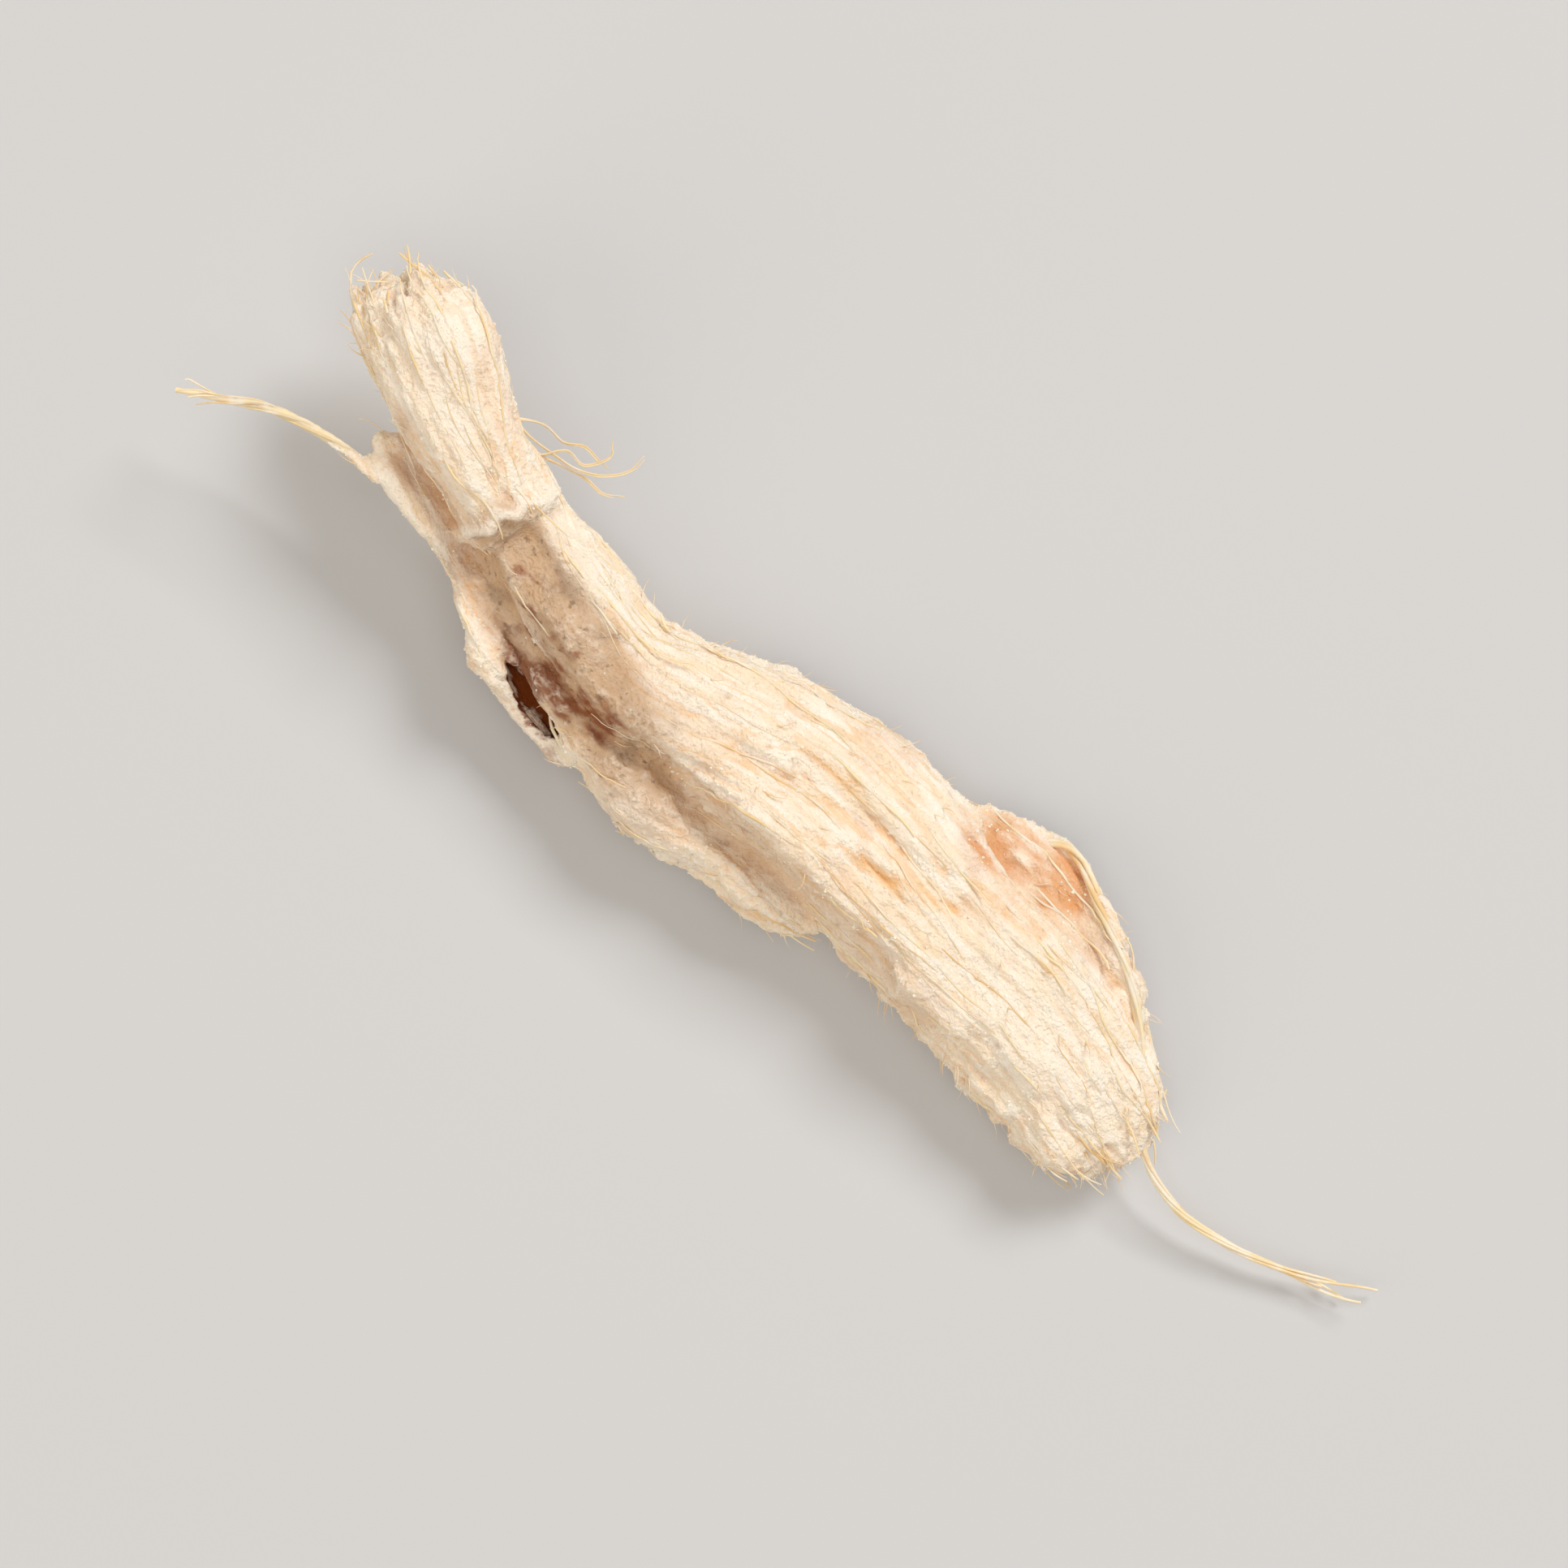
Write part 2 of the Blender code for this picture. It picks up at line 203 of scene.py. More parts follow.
def crevice_blade():
    """An upright blade along the crevice, widest in its middle, that reaches down to its floor."""
    middle = smooth_line(CREVICE_PATH, BLADE_STEPS)
    along = np.gradient(middle, axis=0)
    along /= np.linalg.norm(along, axis=1)[:, None]
    across = along[:, ::-1] * (-1, 1)
    half = CREVICE_HALF_WIDTH * np.sin(np.linspace(0.12, 3.02, len(middle))) ** CREVICE_POINTEDNESS
    left, right = middle + across * half[:, None], middle - across * half[:, None]
    plan = [*right, *left[::-1]]
    count = len(plan)
    corners = [(*point, height) for point, height in zip(plan, crevice_floor_at(np.array(plan)))]
    corners += [(*point, CREVICE_TOP) for point in plan]
    sides = [(i, (i + 1) % count, (i + 1) % count + count, i + count) for i in range(count)]
    blade = bpy.data.meshes.new("crevice_blade")
    lids = [tuple(range(count))[::-1], tuple(range(count, 2 * count))]
    blade.from_pydata(corners, [], [*lids, *sides])
    return blade


def cut_by(mesh, blade_mesh):
    """The mesh without what lies inside the blade."""
    blank = bpy.data.objects.new("blank", mesh)
    blade = bpy.data.objects.new("blade", blade_mesh)
    bpy.context.scene.collection.objects.link(blank)
    bpy.context.scene.collection.objects.link(blade)
    cut = blank.modifiers.new("crevice", "BOOLEAN")
    cut.operation = "DIFFERENCE"
    cut.object = blade
    opened = evaluated_mesh(blank)
    bpy.data.objects.remove(blade)
    return opened


flesh_mesh = remeshed(solid_in_millimetres(), FIRST_VOXEL)
widened = coordinates(flesh_mesh)
widened[:, 1] -= FLAP_REACH * nearness(widened, FLAP_PATH, FLAP_HALF_WIDTH)
underside = smooth_step(-normals(flesh_mesh)[:, 2], -0.1, 0.4)
widened[:, 2] -= THICKENING * nearness(widened, THIN_PATH, THIN_HALF_WIDTH) * underside
set_coordinates(flesh_mesh, widened)
flesh_mesh = largest_part(remeshed(cut_by(flesh_mesh, crevice_blade()), FIRST_VOXEL))
flesh_edges = edge_ends(flesh_mesh)
set_coordinates(flesh_mesh, softened(coordinates(flesh_mesh), flesh_edges, SOFTENING_ROUNDS))

# The grain. The fibres run from the neck to the tip along one bent line, and everything that is torn,
# ridged or streaked on the piece follows them. Each vertex gets its distance along that line, its
# distance to the side and its height.
GRAIN_LINE = [
    (-2.0, 0.3), (-0.1, -0.2), (1.4, -0.5), (3.1, -1.0), (5.0, -1.2), (7.0, -1.2), (8.0, -0.9),
    (9.0, -0.4), (10.0, 0.0), (11.0, 0.2), (13.0, 0.4), (15.0, 0.6), (16.9, 0.5), (19.0, 0.3),
]
LINE_STEPS = 30
PLACES_AT_ONCE = 4000

grain_line = smooth_line(GRAIN_LINE, LINE_STEPS)
grain_steps = np.diff(grain_line, axis=0)
grain_run = np.append(0.0, np.cumsum(np.linalg.norm(grain_steps, axis=1)))
grain_heading = np.vstack([grain_steps, grain_steps[-1:]])
grain_heading /= np.linalg.norm(grain_heading, axis=1)[:, None]


def grain_places(places):
    """Distance along the grain, distance to its left and height of each place, and the grain's heading."""
    nearest = np.empty(len(places), int)
    for start in range(0, len(places), PLACES_AT_ONCE):
        block = places[start:start + PLACES_AT_ONCE, None, :2] - grain_line[None]
        nearest[start:start + PLACES_AT_ONCE] = (block**2).sum(axis=2).argmin(axis=1)
    heading = grain_heading[nearest]
    offset = places[:, :2] - grain_line[nearest]
    along = grain_run[nearest] + (offset * heading).sum(axis=1)
    aside = offset[:, 1] * heading[:, 0] - offset[:, 0] * heading[:, 1]
    return np.column_stack([along, aside, places[:, 2]]), heading


def noise_at(places, size, stretch=1.0, seed=0.0):
    """Smooth noise of about that size, drawn out along the first axis by the stretch."""
    scaled = places / size
    scaled[:, 0] /= stretch
    return np.array([noise.noise(Vector(place)) for place in scaled + seed])


def ridges_at(places, size, stretch, seed):
    """Sharp crests with rounded valleys between them, from -1 to 1."""
    return 1 - 2.6 * np.abs(noise_at(places, size, stretch, seed))


# The regions of the surface, each a path in plan with its half width: weathered skin behind the collar, the
# crevice, whose walls are painted rust-brown, partly as a stain and partly as painted shade, the web under
# the peeled ribbon, painted brown partly as shade, the tan hollow and the slit on the shelf, the slit painted
# tan as shade, a band of painted shade along the left flank, and the bright plateau of the blade. The carving
# and the colours both follow them.
REGIONS = {
    "skin": ([(4.6, -1.35), (5.6, -1.45), (6.8, -1.6), (7.8, -1.8), (8.6, -2.0)], 0.70),
    "crevice": (CREVICE_PATH, 0.26),
    "rust": ([(6.2, -2.36), (6.7, -2.22), (7.1, -2.05), (7.5, -1.88)], 0.34),
    "mottle": ([(5.2, -1.5), (5.7, -1.7), (6.2, -1.8)], 0.42),
    "bridge": ([(4.7, -2.02), (5.4, -2.08), (6.2, -2.14), (6.9, -2.16)], 0.16),
    "web": ([(2.1, -1.60), (2.7, -1.84), (3.4, -1.78), (4.3, -2.05), (5.1, -2.25), (5.9, -2.35)], 0.20),
    "hollow": ([(12.5, 1.75), (13.1, 2.02), (13.7, 2.15)], 0.38),
    "shelf slit": ([(13.9, 2.10), (14.6, 2.02), (15.3, 1.92)], 0.11),
    "painted_shade": ([(8.6, -1.75), (9.9, -1.30), (11.3, -1.04), (12.6, -0.80), (13.9, -0.70)], 0.34),
    "plateau": ([(7.6, -0.3), (9.4, -0.1), (11.4, 0.4), (13.4, 0.6), (15.4, 0.8), (17.0, 0.4)], 1.5),
}
# Painted light: places painted paler to look lit, namely the right side of the neck, the right flank behind
# the collar, the lobe and the tip.
PAINTED_LIGHT_PATHS = [
    ([(4.5, -0.42), (5.2, -0.45), (6.3, -0.50), (7.2, -0.42)], 0.30),
    ([(0.6, -0.3), (1.6, -0.5), (2.4, -0.8)], 0.75),
    ([(8.7, -2.40), (9.6, -2.45), (10.5, -2.20)], 0.35),
    ([(14.6, 0.3), (15.8, 0.3), (16.8, 0.4)], 0.80),
]
STREAK_HALF_WIDTH = 0.11
STREAK_PATHS = [
    [(8.3, -0.70), (8.9, -0.46)],
    [(9.5, 0.35), (10.5, 0.55)],
    [(11.5, -0.06), (12.2, 0.20), (12.9, 0.62)],
    [(11.4, 1.05), (12.4, 0.88)],
    [(13.1, 1.24), (14.0, 1.40)],
    [(6.2, -0.75), (7.0, -0.80)],
]
LOBE_PATH = [(7.4, -2.2), (8.6, -2.3), (9.8, -2.1), (11.2, -1.6)]
CUFF_EDGE = [
    (4.02, -1.95), (4.16, -1.66), (4.30, -1.46), (4.20, -1.24), (4.38, -1.02), (4.28, -0.80),
    (4.50, -0.58), (4.44, -0.40), (4.66, -0.16),
]
RIB_TOP = ((5.6, 5.9, 6.5, 7.1), (1.52, 1.46, 1.36, 1.26))

carved = coordinates(flesh_mesh)
grain, heading = grain_places(carved)
facing = normals(flesh_mesh)
upness = facing[:, 2]
on_top = smooth_step(upness, -0.2, 0.3)


def near(region):
    return nearness(carved, *REGIONS[region])


skin = near("skin") * smooth_step(upness, -0.6, 0.2) + 0.35 * noise_at(grain, 0.9, 1.6, 3.0)
skin = smooth_step(skin, 0.25, 0.75)
crevice = near("crevice") * smooth_step(np.interp(carved[:, 0], *RIB_TOP) - carved[:, 2], 0.0, 0.13)
crevice *= smooth_step(carved[:, 2] - crevice_floor_at(carved), -0.42, -0.30)
crevice *= smooth_step(upness, -1.0, -0.85)
bridge = near("bridge") * on_top
cuff_line = smooth_line(CUFF_EDGE, PATH_STEPS)
past_cuff = carved[:, 0] - np.interp(carved[:, 1], cuff_line[:, 1], cuff_line[:, 0])
beside_cuff = on_top * smooth_step(carved[:, 1], -2.05, -1.85) * (carved[:, 2] > 1.2)
cuff_drop = smooth_step(past_cuff, -0.03, 0.07) * np.exp(-np.maximum(past_cuff, 0)) * beside_cuff
rim = np.exp(-(((past_cuff + 0.12) / 0.11) ** 2)) * beside_cuff
# The collar's rim gets a painted highlight, and the paths get painted light.
painted_light = np.max([nearness(carved, path, half_width) for path, half_width in PAINTED_LIGHT_PATHS], axis=0)
painted_light = np.maximum(rim, 0.8 * painted_light * on_top)
# The web and the ribbon's near edge under the peeled ribbon are painted browner: partly the web's own brown,
# partly painted shade.
web = near("web") * on_top
blotches = 0.55 * noise_at(grain, 0.22, 1.6, 9.0) + 0.40 * noise_at(grain, 0.10, 1.4, 99.0)
stain_and_crevice_shade = smooth_step(0.95 * near("rust") + 0.5 * near("mottle") + blotches, 0.35, 0.95) * on_top
# The crevice walls take the rust colour more strongly: partly a rusty stain, partly painted shade.
stain_and_crevice_shade = np.maximum(0.95 * stain_and_crevice_shade, 1.3 * crevice)
mottling = noise_at(grain, 0.30, 2.4, 97.0) + 0.6 * noise_at(grain, 0.13, 2.0, 98.0)
hollow = np.clip(near("hollow") * smooth_step(upness, 0.2, 0.7) * (1.35 + 1.4 * mottling), 0, 1)
shelf_slit = near("shelf slit") * on_top
# Painted shade: the blade's left flank, which faces away from the light, is painted tan.
painted_shade = near("painted_shade") * smooth_step(upness, -0.7, -0.2)
painted_shade = np.clip(painted_shade + 0.5 * noise_at(grain, 0.4, 5.0, 91.0) * (painted_shade > 0.05), 0, 1)
streak = np.max([nearness(carved, path, STREAK_HALF_WIDTH) for path in STREAK_PATHS], axis=0) * on_top
streak *= np.clip(0.55 + 2.2 * noise_at(grain, 0.10, 9.0, 93.0), 0, 1.2)
plateau = near("plateau") * smooth_step(upness, 0.1, 0.6)
flank = 1 - smooth_step(upness, 0.0, 0.55)
brink = np.exp(-((upness - 0.15) / 0.35) ** 2) * smooth_step(carved[:, 0], 6.5, 8.0)

# The carving: torn layers that end in ledges along the grain, ridges and single fibres, bits of flesh
# broken out between them, transverse wrinkles where the skin has shrunk, and a powdery bloom of starch.
# The fibre bundles of both ends have snapped at different lengths, and the ribbon narrows to a thread.
LEDGE_STEPS = 2.8
LEDGE_DEPTH = 0.20
RIDGE_DEPTH = 0.045
FIBRE_DEPTH = 0.028
PIT_DEPTH = 0.11
NOTCH_DEPTH = 0.16
WRINKLE_DEPTH = 0.024
CHALK_DEPTH = 0.012
BRIDGE_HEIGHT = 0.12
CUFF_STEP = 0.12
RIM_HEIGHT = 0.05
WEB_DEPTH = 0.06
SHELF_SLIT_DEPTH = 0.13
HOLLOW_DEPTH = 0.06
STREAK_DEPTH = 0.05
NECK_BREAK = 0.50
NECK_BREAK_REACH = 1.4
TIP_BREAK = 0.20
TIP_BREAK_REACH = 0.9
LOWEST = 0.0
RIBBON_TAPER = 0.62
RIBBON_ROUTE = [
    (3.4, -2.18, 1.74), (2.6, -2.28, 1.90), (1.9, -2.46, 2.00), (1.2, -2.72, 1.98),
    (0.65, -3.02, 1.91), (0.2, -3.42, 1.80), (-0.4, -3.95, 1.66),
]


def terraced(values, steps):
    """The values in flat treads with steep risers between them."""
    scaled = values * steps
    tread = np.floor(scaled)
    return (tread + smooth_step(scaled - tread, 0.38, 0.62)) / steps


def carve(mesh, depth):
    """Moves each vertex along its normal by a depth, and keeps what rests on the table above it."""
    places = coordinates(mesh) + normals(mesh) * depth[:, None]
    places[:, 2] = np.maximum(places[:, 2], LOWEST)
    set_coordinates(mesh, places)


bundle_length = 0.5 + 0.8 * noise_at(grain * (0.15, 1, 1), 0.13, 1.0, 61.0)
neck_break = NECK_BREAK * smooth_step(-carved[:, 0], -NECK_BREAK_REACH, -0.2)
tip_break = TIP_BREAK * smooth_step(carved[:, 0], 17.9 - TIP_BREAK_REACH, 17.4)
slant = np.clip(0.5 + 0.55 * (carved[:, 1] + 0.3), 0, 1.4)
shortening = np.clip(bundle_length, 0, 1) * (neck_break - tip_break) + 0.8 * slant * neck_break
carved[:, :2] += heading * shortening[:, None]
ribbon_line = smooth_line(RIBBON_ROUTE, PATH_STEPS)
narrowed = smooth_step(-carved[:, 0], -2.9, -1.4) * smooth_step(-carved[:, 1], 1.85, 2.2)
for vertex in np.flatnonzero(narrowed):
    gaps = ribbon_line - carved[vertex]
    carved[vertex] += gaps[(gaps**2).sum(axis=1).argmin()] * RIBBON_TAPER * narrowed[vertex]
set_coordinates(flesh_mesh, softened(carved, flesh_edges, 1))

neck = smooth_step(-carved[:, 0], -4.6, -3.6)
tip = smooth_step(carved[:, 0], 16.3, 17.1)
lobe = nearness(carved, LOBE_PATH, 0.55)
torn = (1 - 0.85 * skin) * (1 - 0.62 * plateau) * (1 - 0.6 * neck) * (1 - 0.6 * tip)
layer_field = noise_at(grain, 0.55, 9.0, 21.0) + 0.20 * noise_at(grain, 0.15, 2.2, 5.0)
ledges = terraced(layer_field, LEDGE_STEPS) - 0.25
pits = smooth_step(noise_at(grain, 0.20, 7.0, 13.0) + 0.4 * noise_at(grain, 0.11, 3.5, 14.0), 0.26, 0.56)
notches = smooth_step(noise_at(grain, 0.19, 2.6, 71.0) + 0.5 * noise_at(grain, 0.09, 1.4, 73.0), 0.14, 0.5)
across_grain = grain[:, [1, 0, 2]]
wrinkles = ridges_at(across_grain, 0.24, 3.2, 31.0) + 0.6 * ridges_at(across_grain, 0.12, 3.0, 33.0)
broad_ridges = ridges_at(grain, 0.46, 11.0, 17.0) * (1 - 0.5 * skin) * (1 - 0.35 * plateau)
raised = LEDGE_DEPTH * ledges * torn + RIDGE_DEPTH * broad_ridges + WRINKLE_DEPTH * wrinkles * skin
broken_out = PIT_DEPTH * pits * torn * (0.35 + 0.65 * flank) + NOTCH_DEPTH * notches * brink * (1 - 0.7 * tip)
carve(flesh_mesh, raised - broken_out)
raised = BRIDGE_HEIGHT * bridge + RIM_HEIGHT * rim
sunk = CUFF_STEP * cuff_drop + SHELF_SLIT_DEPTH * shelf_slit
sunk += HOLLOW_DEPTH * hollow + STREAK_DEPTH * streak + WEB_DEPTH * web
carve(flesh_mesh, raised - sunk)

# The rough carving leaves folds that run through each other. Remeshing it once more closes them, and
# each new vertex takes over the measures of the old one nearest to it. The finest relief comes last.
rough_carving = coordinates(flesh_mesh)
flesh_mesh = largest_part(remeshed(flesh_mesh, VOXEL))
flesh_edges = edge_ends(flesh_mesh)
nearest_before = KDTree(len(rough_carving))
for index, place in enumerate(rough_carving):
    nearest_before.insert(place, index)
nearest_before.balance()
taken_from = [nearest_before.find(place)[1] for place in coordinates(flesh_mesh)]
grain, skin, stain_and_crevice_shade, hollow, painted_shade, streak, shelf_slit, painted_light, web, lobe, flank, brink = (
    field[taken_from]
    for field in (grain, skin, stain_and_crevice_shade, hollow, painted_shade, streak, shelf_slit, painted_light, web, lobe, flank, brink)
)
set_coordinates(flesh_mesh, softened(coordinates(flesh_mesh), flesh_edges, 1))
facing = normals(flesh_mesh)
fibres = ridges_at(grain, 0.17, 16.0, 41.0) + 0.7 * ridges_at(grain, 0.10, 18.0, 43.0)
rough_places = coordinates(flesh_mesh)
chalk = noise_at(rough_places, 0.12, 1.0, 51.0) + 0.7 * noise_at(rough_places, 0.07, 1.0, 53.0)
carve(flesh_mesh, FIBRE_DEPTH * fibres * (1 - 0.6 * skin) + CHALK_DEPTH * chalk * (1 + 1.3 * lobe))

# The shading masks. How far a vertex stands out of its surroundings tells crests, with their starch and
# broken fibre ends, from the valleys between them. The finish paints crests paler, partly as painted
# highlight, and valleys tan-brown, partly their own brown and partly painted shade.
CREST_HEIGHT = 0.05
SMOOTHING_TO_SURROUNDINGS = 40


def store(mesh, name, values):
    """Keeps a number or a vector for each vertex as an attribute of the mesh."""
    kind, key = ("FLOAT", "value") if values.ndim == 1 else ("FLOAT_VECTOR", "vector")
    mesh.attributes.new(name, kind, "POINT").data.foreach_set(key, values.astype(np.float32).ravel())


final = coordinates(flesh_mesh)
surroundings = softened(final, flesh_edges, SMOOTHING_TO_SURROUNDINGS)
relief = ((final - surroundings) * normals(flesh_mesh)).sum(axis=1) / CREST_HEIGHT
relief = np.clip(relief, -1.5, 1.5)
shading = {
    "relief": relief, "skin": skin, "stain_and_crevice_shade": stain_and_crevice_shade, "hollow": hollow, "streak": streak,
    # The shelf's slit is painted tan as shade in its groove.
    "painted_shade": np.maximum(painted_shade, 0.9 * shelf_slit), "painted_light": painted_light, "web": web,
}
for name, values in shading.items():
    store(flesh_mesh, name, values)
store(flesh_mesh, "grain", grain)


def tone(red, green, blue):
    """A colour given as it looks on a screen, from 0 to 255, as the linear colour that a shader takes."""
    shares = [c / 255 for c in (red, green, blue)]
    linear = [s / 12.92 if s <= 0.04045 else ((s + 0.055) / 1.055) ** 2.4 for s in shares]
    return (*linear, 1.0)


def add_node(tree, kind, inputs=None, **settings):
    """A node with its settings, and each named or numbered input linked to a socket or given a value."""
    made = tree.nodes.new(kind)
    for setting, value in settings.items():
        setattr(made, setting, value)
    for socket, value in (inputs or {}).items():
        if isinstance(value, bpy.types.NodeSocket):
            tree.links.new(value, made.inputs[socket])
        else:
            made.inputs[socket].default_value = value
    return made


def calculate(tree, operation, *values):
    """One arithmetic step on sockets or numbers."""
    return add_node(tree, "ShaderNodeMath", dict(enumerate(values)), operation=operation).outputs[0]


def blend_colours(tree, share, first, second):
    """The second colour laid over the first by a share."""
    inputs = {"Factor": share, 6: first, 7: second}
    return add_node(tree, "ShaderNodeMix", inputs, data_type="RGBA").outputs[2]


def step_between(tree, value, start, end):
    """A value that goes smoothly from 0 at the start to 1 at the end."""
    inputs = {"Value": value, "From Min": start, "From Max": end}
    return add_node(tree, "ShaderNodeMapRange", inputs, interpolation_type="SMOOTHSTEP").outputs[0]


def noise_texture(tree, places, scale, detail):
    inputs = {"Vector": places, "Scale": scale, "Detail": detail}
    return add_node(tree, "ShaderNodeTexNoise", inputs).outputs[0]


def millimetre_places(tree):
    """The place on the object, in millimetres."""
    place = add_node(tree, "ShaderNodeTexCoord").outputs["Object"]
    return add_node(tree, "ShaderNodeMapping", {"Vector": place, "Scale": (1000, 1000, 1000)}).outputs[0]


def laid_over(tree, colour, mask, share, tint):
    """The colour with a tint over it where the mask is, at most by the share."""
    return blend_colours(tree, calculate(tree, "MULTIPLY", mask, share), colour, tint)


def set_bump(tree, shader, height, strength, depth):
    """Fine relief that is too small for the mesh, with its depth in millimetres."""
    inputs = {"Height": height, "Strength": strength, "Distance": depth * MM}
    tree.links.new(add_node(tree, "ShaderNodeBump", inputs).outputs[0], shader.inputs["Normal"])


def set_depth_of_light(shader, weight, reach, radius=(1.0, 0.2, 0.1)):
    """How much light passes through the surface layer, and how far in millimetres."""
    shader.inputs["Subsurface Weight"].default_value = weight
    shader.inputs["Subsurface Radius"].default_value = radius
    shader.inputs["Subsurface Scale"].default_value = reach * MM


def new_material(name):
    material = bpy.data.materials.new(name)
    material.use_nodes = True
    return material, material.node_tree, material.node_tree.nodes["Principled BSDF"]


# The finish of the flesh: cream starch, paler on crests partly as painted highlight, tan in valleys partly as
# painted shade, with orange-yellow streaks of oily fibre, greyish weathered skin with dark specks, and a
# rusty stain. Painted shade also lies on the left flank, the web, the slits and the crevice, and painted
# light on the lit places. It is dull all over.
CREAM = tone(250, 228, 200)
PALE_STARCH = tone(254, 244, 230)
# Tan for random patches, and for the valleys as painted shade with some real brown.
TAN_PATCH_AND_VALLEY_SHADE = tone(208, 150, 98)
OIL_STREAK = tone(240, 184, 112)
# Tan for painted shade on the left flank and in the shelf's slit.
PAINTED_SHADE_TAN = tone(208, 174, 140)
# Brown for the web, partly its own colour and partly painted shade under the ribbon.
WEB_BROWN_AND_SHADE = tone(192, 142, 98)
GREY_SKIN = tone(198, 163, 128)
DARK_SPECK = tone(112, 86, 62)
# Rust for the stain, and for the crevice walls partly as painted shade.
RUST_AND_CREVICE_SHADE = tone(134, 64, 16)
PINKISH_HOLLOW = tone(226, 162, 106)
FLESH_LAYERS = (
    ("streak", 0.55, OIL_STREAK), ("web", 0.5, WEB_BROWN_AND_SHADE), ("painted_shade", 0.4, PAINTED_SHADE_TAN),
    ("hollow", 0.82, PINKISH_HOLLOW), ("skin", 0.78, GREY_SKIN),
)


def flesh_finish():
    material, tree, shader = new_material("dried_flesh")
    masks = {
        name: add_node(tree, "ShaderNodeAttribute", attribute_name=name).outputs["Fac"] for name in shading
    }
    grain_vector = add_node(tree, "ShaderNodeAttribute", attribute_name="grain").outputs["Vector"]
    drawn_out = {"Vector": grain_vector, "Scale": (0.12, 1, 1)}
    along_grain = add_node(tree, "ShaderNodeMapping", drawn_out).outputs[0]
    in_mm = millimetre_places(tree)
    fibre = noise_texture(tree, along_grain, 6.0, 6.0)
    patches = noise_texture(tree, grain_vector, 0.9, 4.0)
    powder = noise_texture(tree, in_mm, 13.0, 5.0)
    specks = noise_texture(tree, in_mm, 7.0, 2.0)
    smudges = noise_texture(tree, in_mm, 1.7, 5.0)
    veins = noise_texture(tree, along_grain, 1.9, 2.0)

    colour = blend_colours(tree, step_between(tree, fibre, 0.36, 0.66), CREAM, PALE_STARCH)
    colour = laid_over(tree, colour, step_between(tree, patches, 0.52, 0.74), 0.40, TAN_PATCH_AND_VALLEY_SHADE)
    # Painted shade: valleys are laid over with tan, more the deeper they sit.
    colour = laid_over(tree, colour, step_between(tree, masks["relief"], -0.1, -1.3), 0.5, TAN_PATCH_AND_VALLEY_SHADE)
    near_vein = calculate(tree, "ABSOLUTE", calculate(tree, "SUBTRACT", veins, 0.5))
    colour = laid_over(tree, colour, step_between(tree, near_vein, 0.020, 0.004), 0.35, OIL_STREAK)
    for mask, share, tint in FLESH_LAYERS:
        colour = laid_over(tree, colour, masks[mask], share, tint)
    for texture, start, end, share in ((smudges, 0.54, 0.72, 0.45), (specks, 0.60, 0.72, 0.6)):
        on_skin = calculate(tree, "MULTIPLY", step_between(tree, texture, start, end), masks["skin"])
        colour = laid_over(tree, colour, on_skin, share, DARK_SPECK)
    # The rusty stain, and the crevice walls as partly painted shade, in rust.
    colour = laid_over(tree, colour, masks["stain_and_crevice_shade"], 0.88, RUST_AND_CREVICE_SHADE)
    # Painted light and the rim's painted highlight, in pale starch.
    colour = laid_over(tree, colour, masks["painted_light"], 0.75, PALE_STARCH)
    # Crests get pale starch where the powder is high: a starch bloom, and partly a painted highlight.
    crest = step_between(tree, masks["relief"], 0.1, 1.0)
    bloom_and_painted_highlight = calculate(tree, "MULTIPLY", crest, step_between(tree, powder, 0.35, 0.65))
    colour = laid_over(tree, colour, bloom_and_painted_highlight, 0.6, PALE_STARCH)
    tree.links.new(colour, shader.inputs["Base Color"])

    rough = calculate(tree, "MULTIPLY_ADD", powder, 0.2, 0.78)
    tree.links.new(rough, shader.inputs["Roughness"])
    voronoi = {"Vector": in_mm, "Scale": 22.0}
    grit = add_node(tree, "ShaderNodeTexVoronoi", voronoi, feature="SMOOTH_F1").outputs[0]
    powdery = calculate(tree, "MULTIPLY", powder, 1.3)
    granular = calculate(tree, "SUBTRACT", powdery, calculate(tree, "MULTIPLY", grit, 0.35))
    set_bump(tree, shader, calculate(tree, "MULTIPLY_ADD", fibre, 0.8, granular), 1.0, 0.045)
    shader.inputs["Specular IOR Level"].default_value = 0.25
    set_depth_of_light(shader, 0.15, 0.22, (1.0, 0.55, 0.28))
    return material


def finished_piece(mesh, name, material, rounded=True):
    """A mesh in the splinter's own millimetres as a piece at its place in the frame, riding on the root."""
    mesh.transform(Matrix.Translation(measured_from) @ Matrix.Scale(MM, 4))
    mesh.materials.clear()
    mesh.materials.append(material)
    if rounded:
        mesh.shade_smooth()
    else:
        mesh.shade_flat()
    piece = bpy.data.objects.new(name, mesh)
    bpy.context.scene.collection.objects.link(piece)
    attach(piece, BODY)
    return piece


torn_surface = BVHTree.FromPolygons(final.tolist(), [tuple(p.vertices) for p in flesh_mesh.polygons])
fuzz_ground = flesh_mesh.copy()
flesh = finished_piece(flesh_mesh, "torn_flesh", flesh_finish())
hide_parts(NODE)

# Root fibres on the torn surface. They are the vascular strands of the rhizome, tougher than the flesh
# between them, so tearing leaves them standing as thin yellowish lines along the grain, some of them
# lifted off at one end or broken off past the two torn ends.
STRAND_STEP = 0.11
STRAND_SIDES = 6
STRAND_SEED = 5
STRAND_COUNT = 170
STRAND_LENGTHS = (1.2, 5.4)
STRAND_RADII = (0.008, 0.024)
STRAND_RISES = (-0.04, -0.04, -0.04, 0.05, 0.16)
END_STRAND_COUNT = 12
END_STRAND_LENGTH = 2.4
END_STRAND_RADII = (0.012, 0.028)
BOX_MARGIN = 0.05
FULL_TURN = 6.28

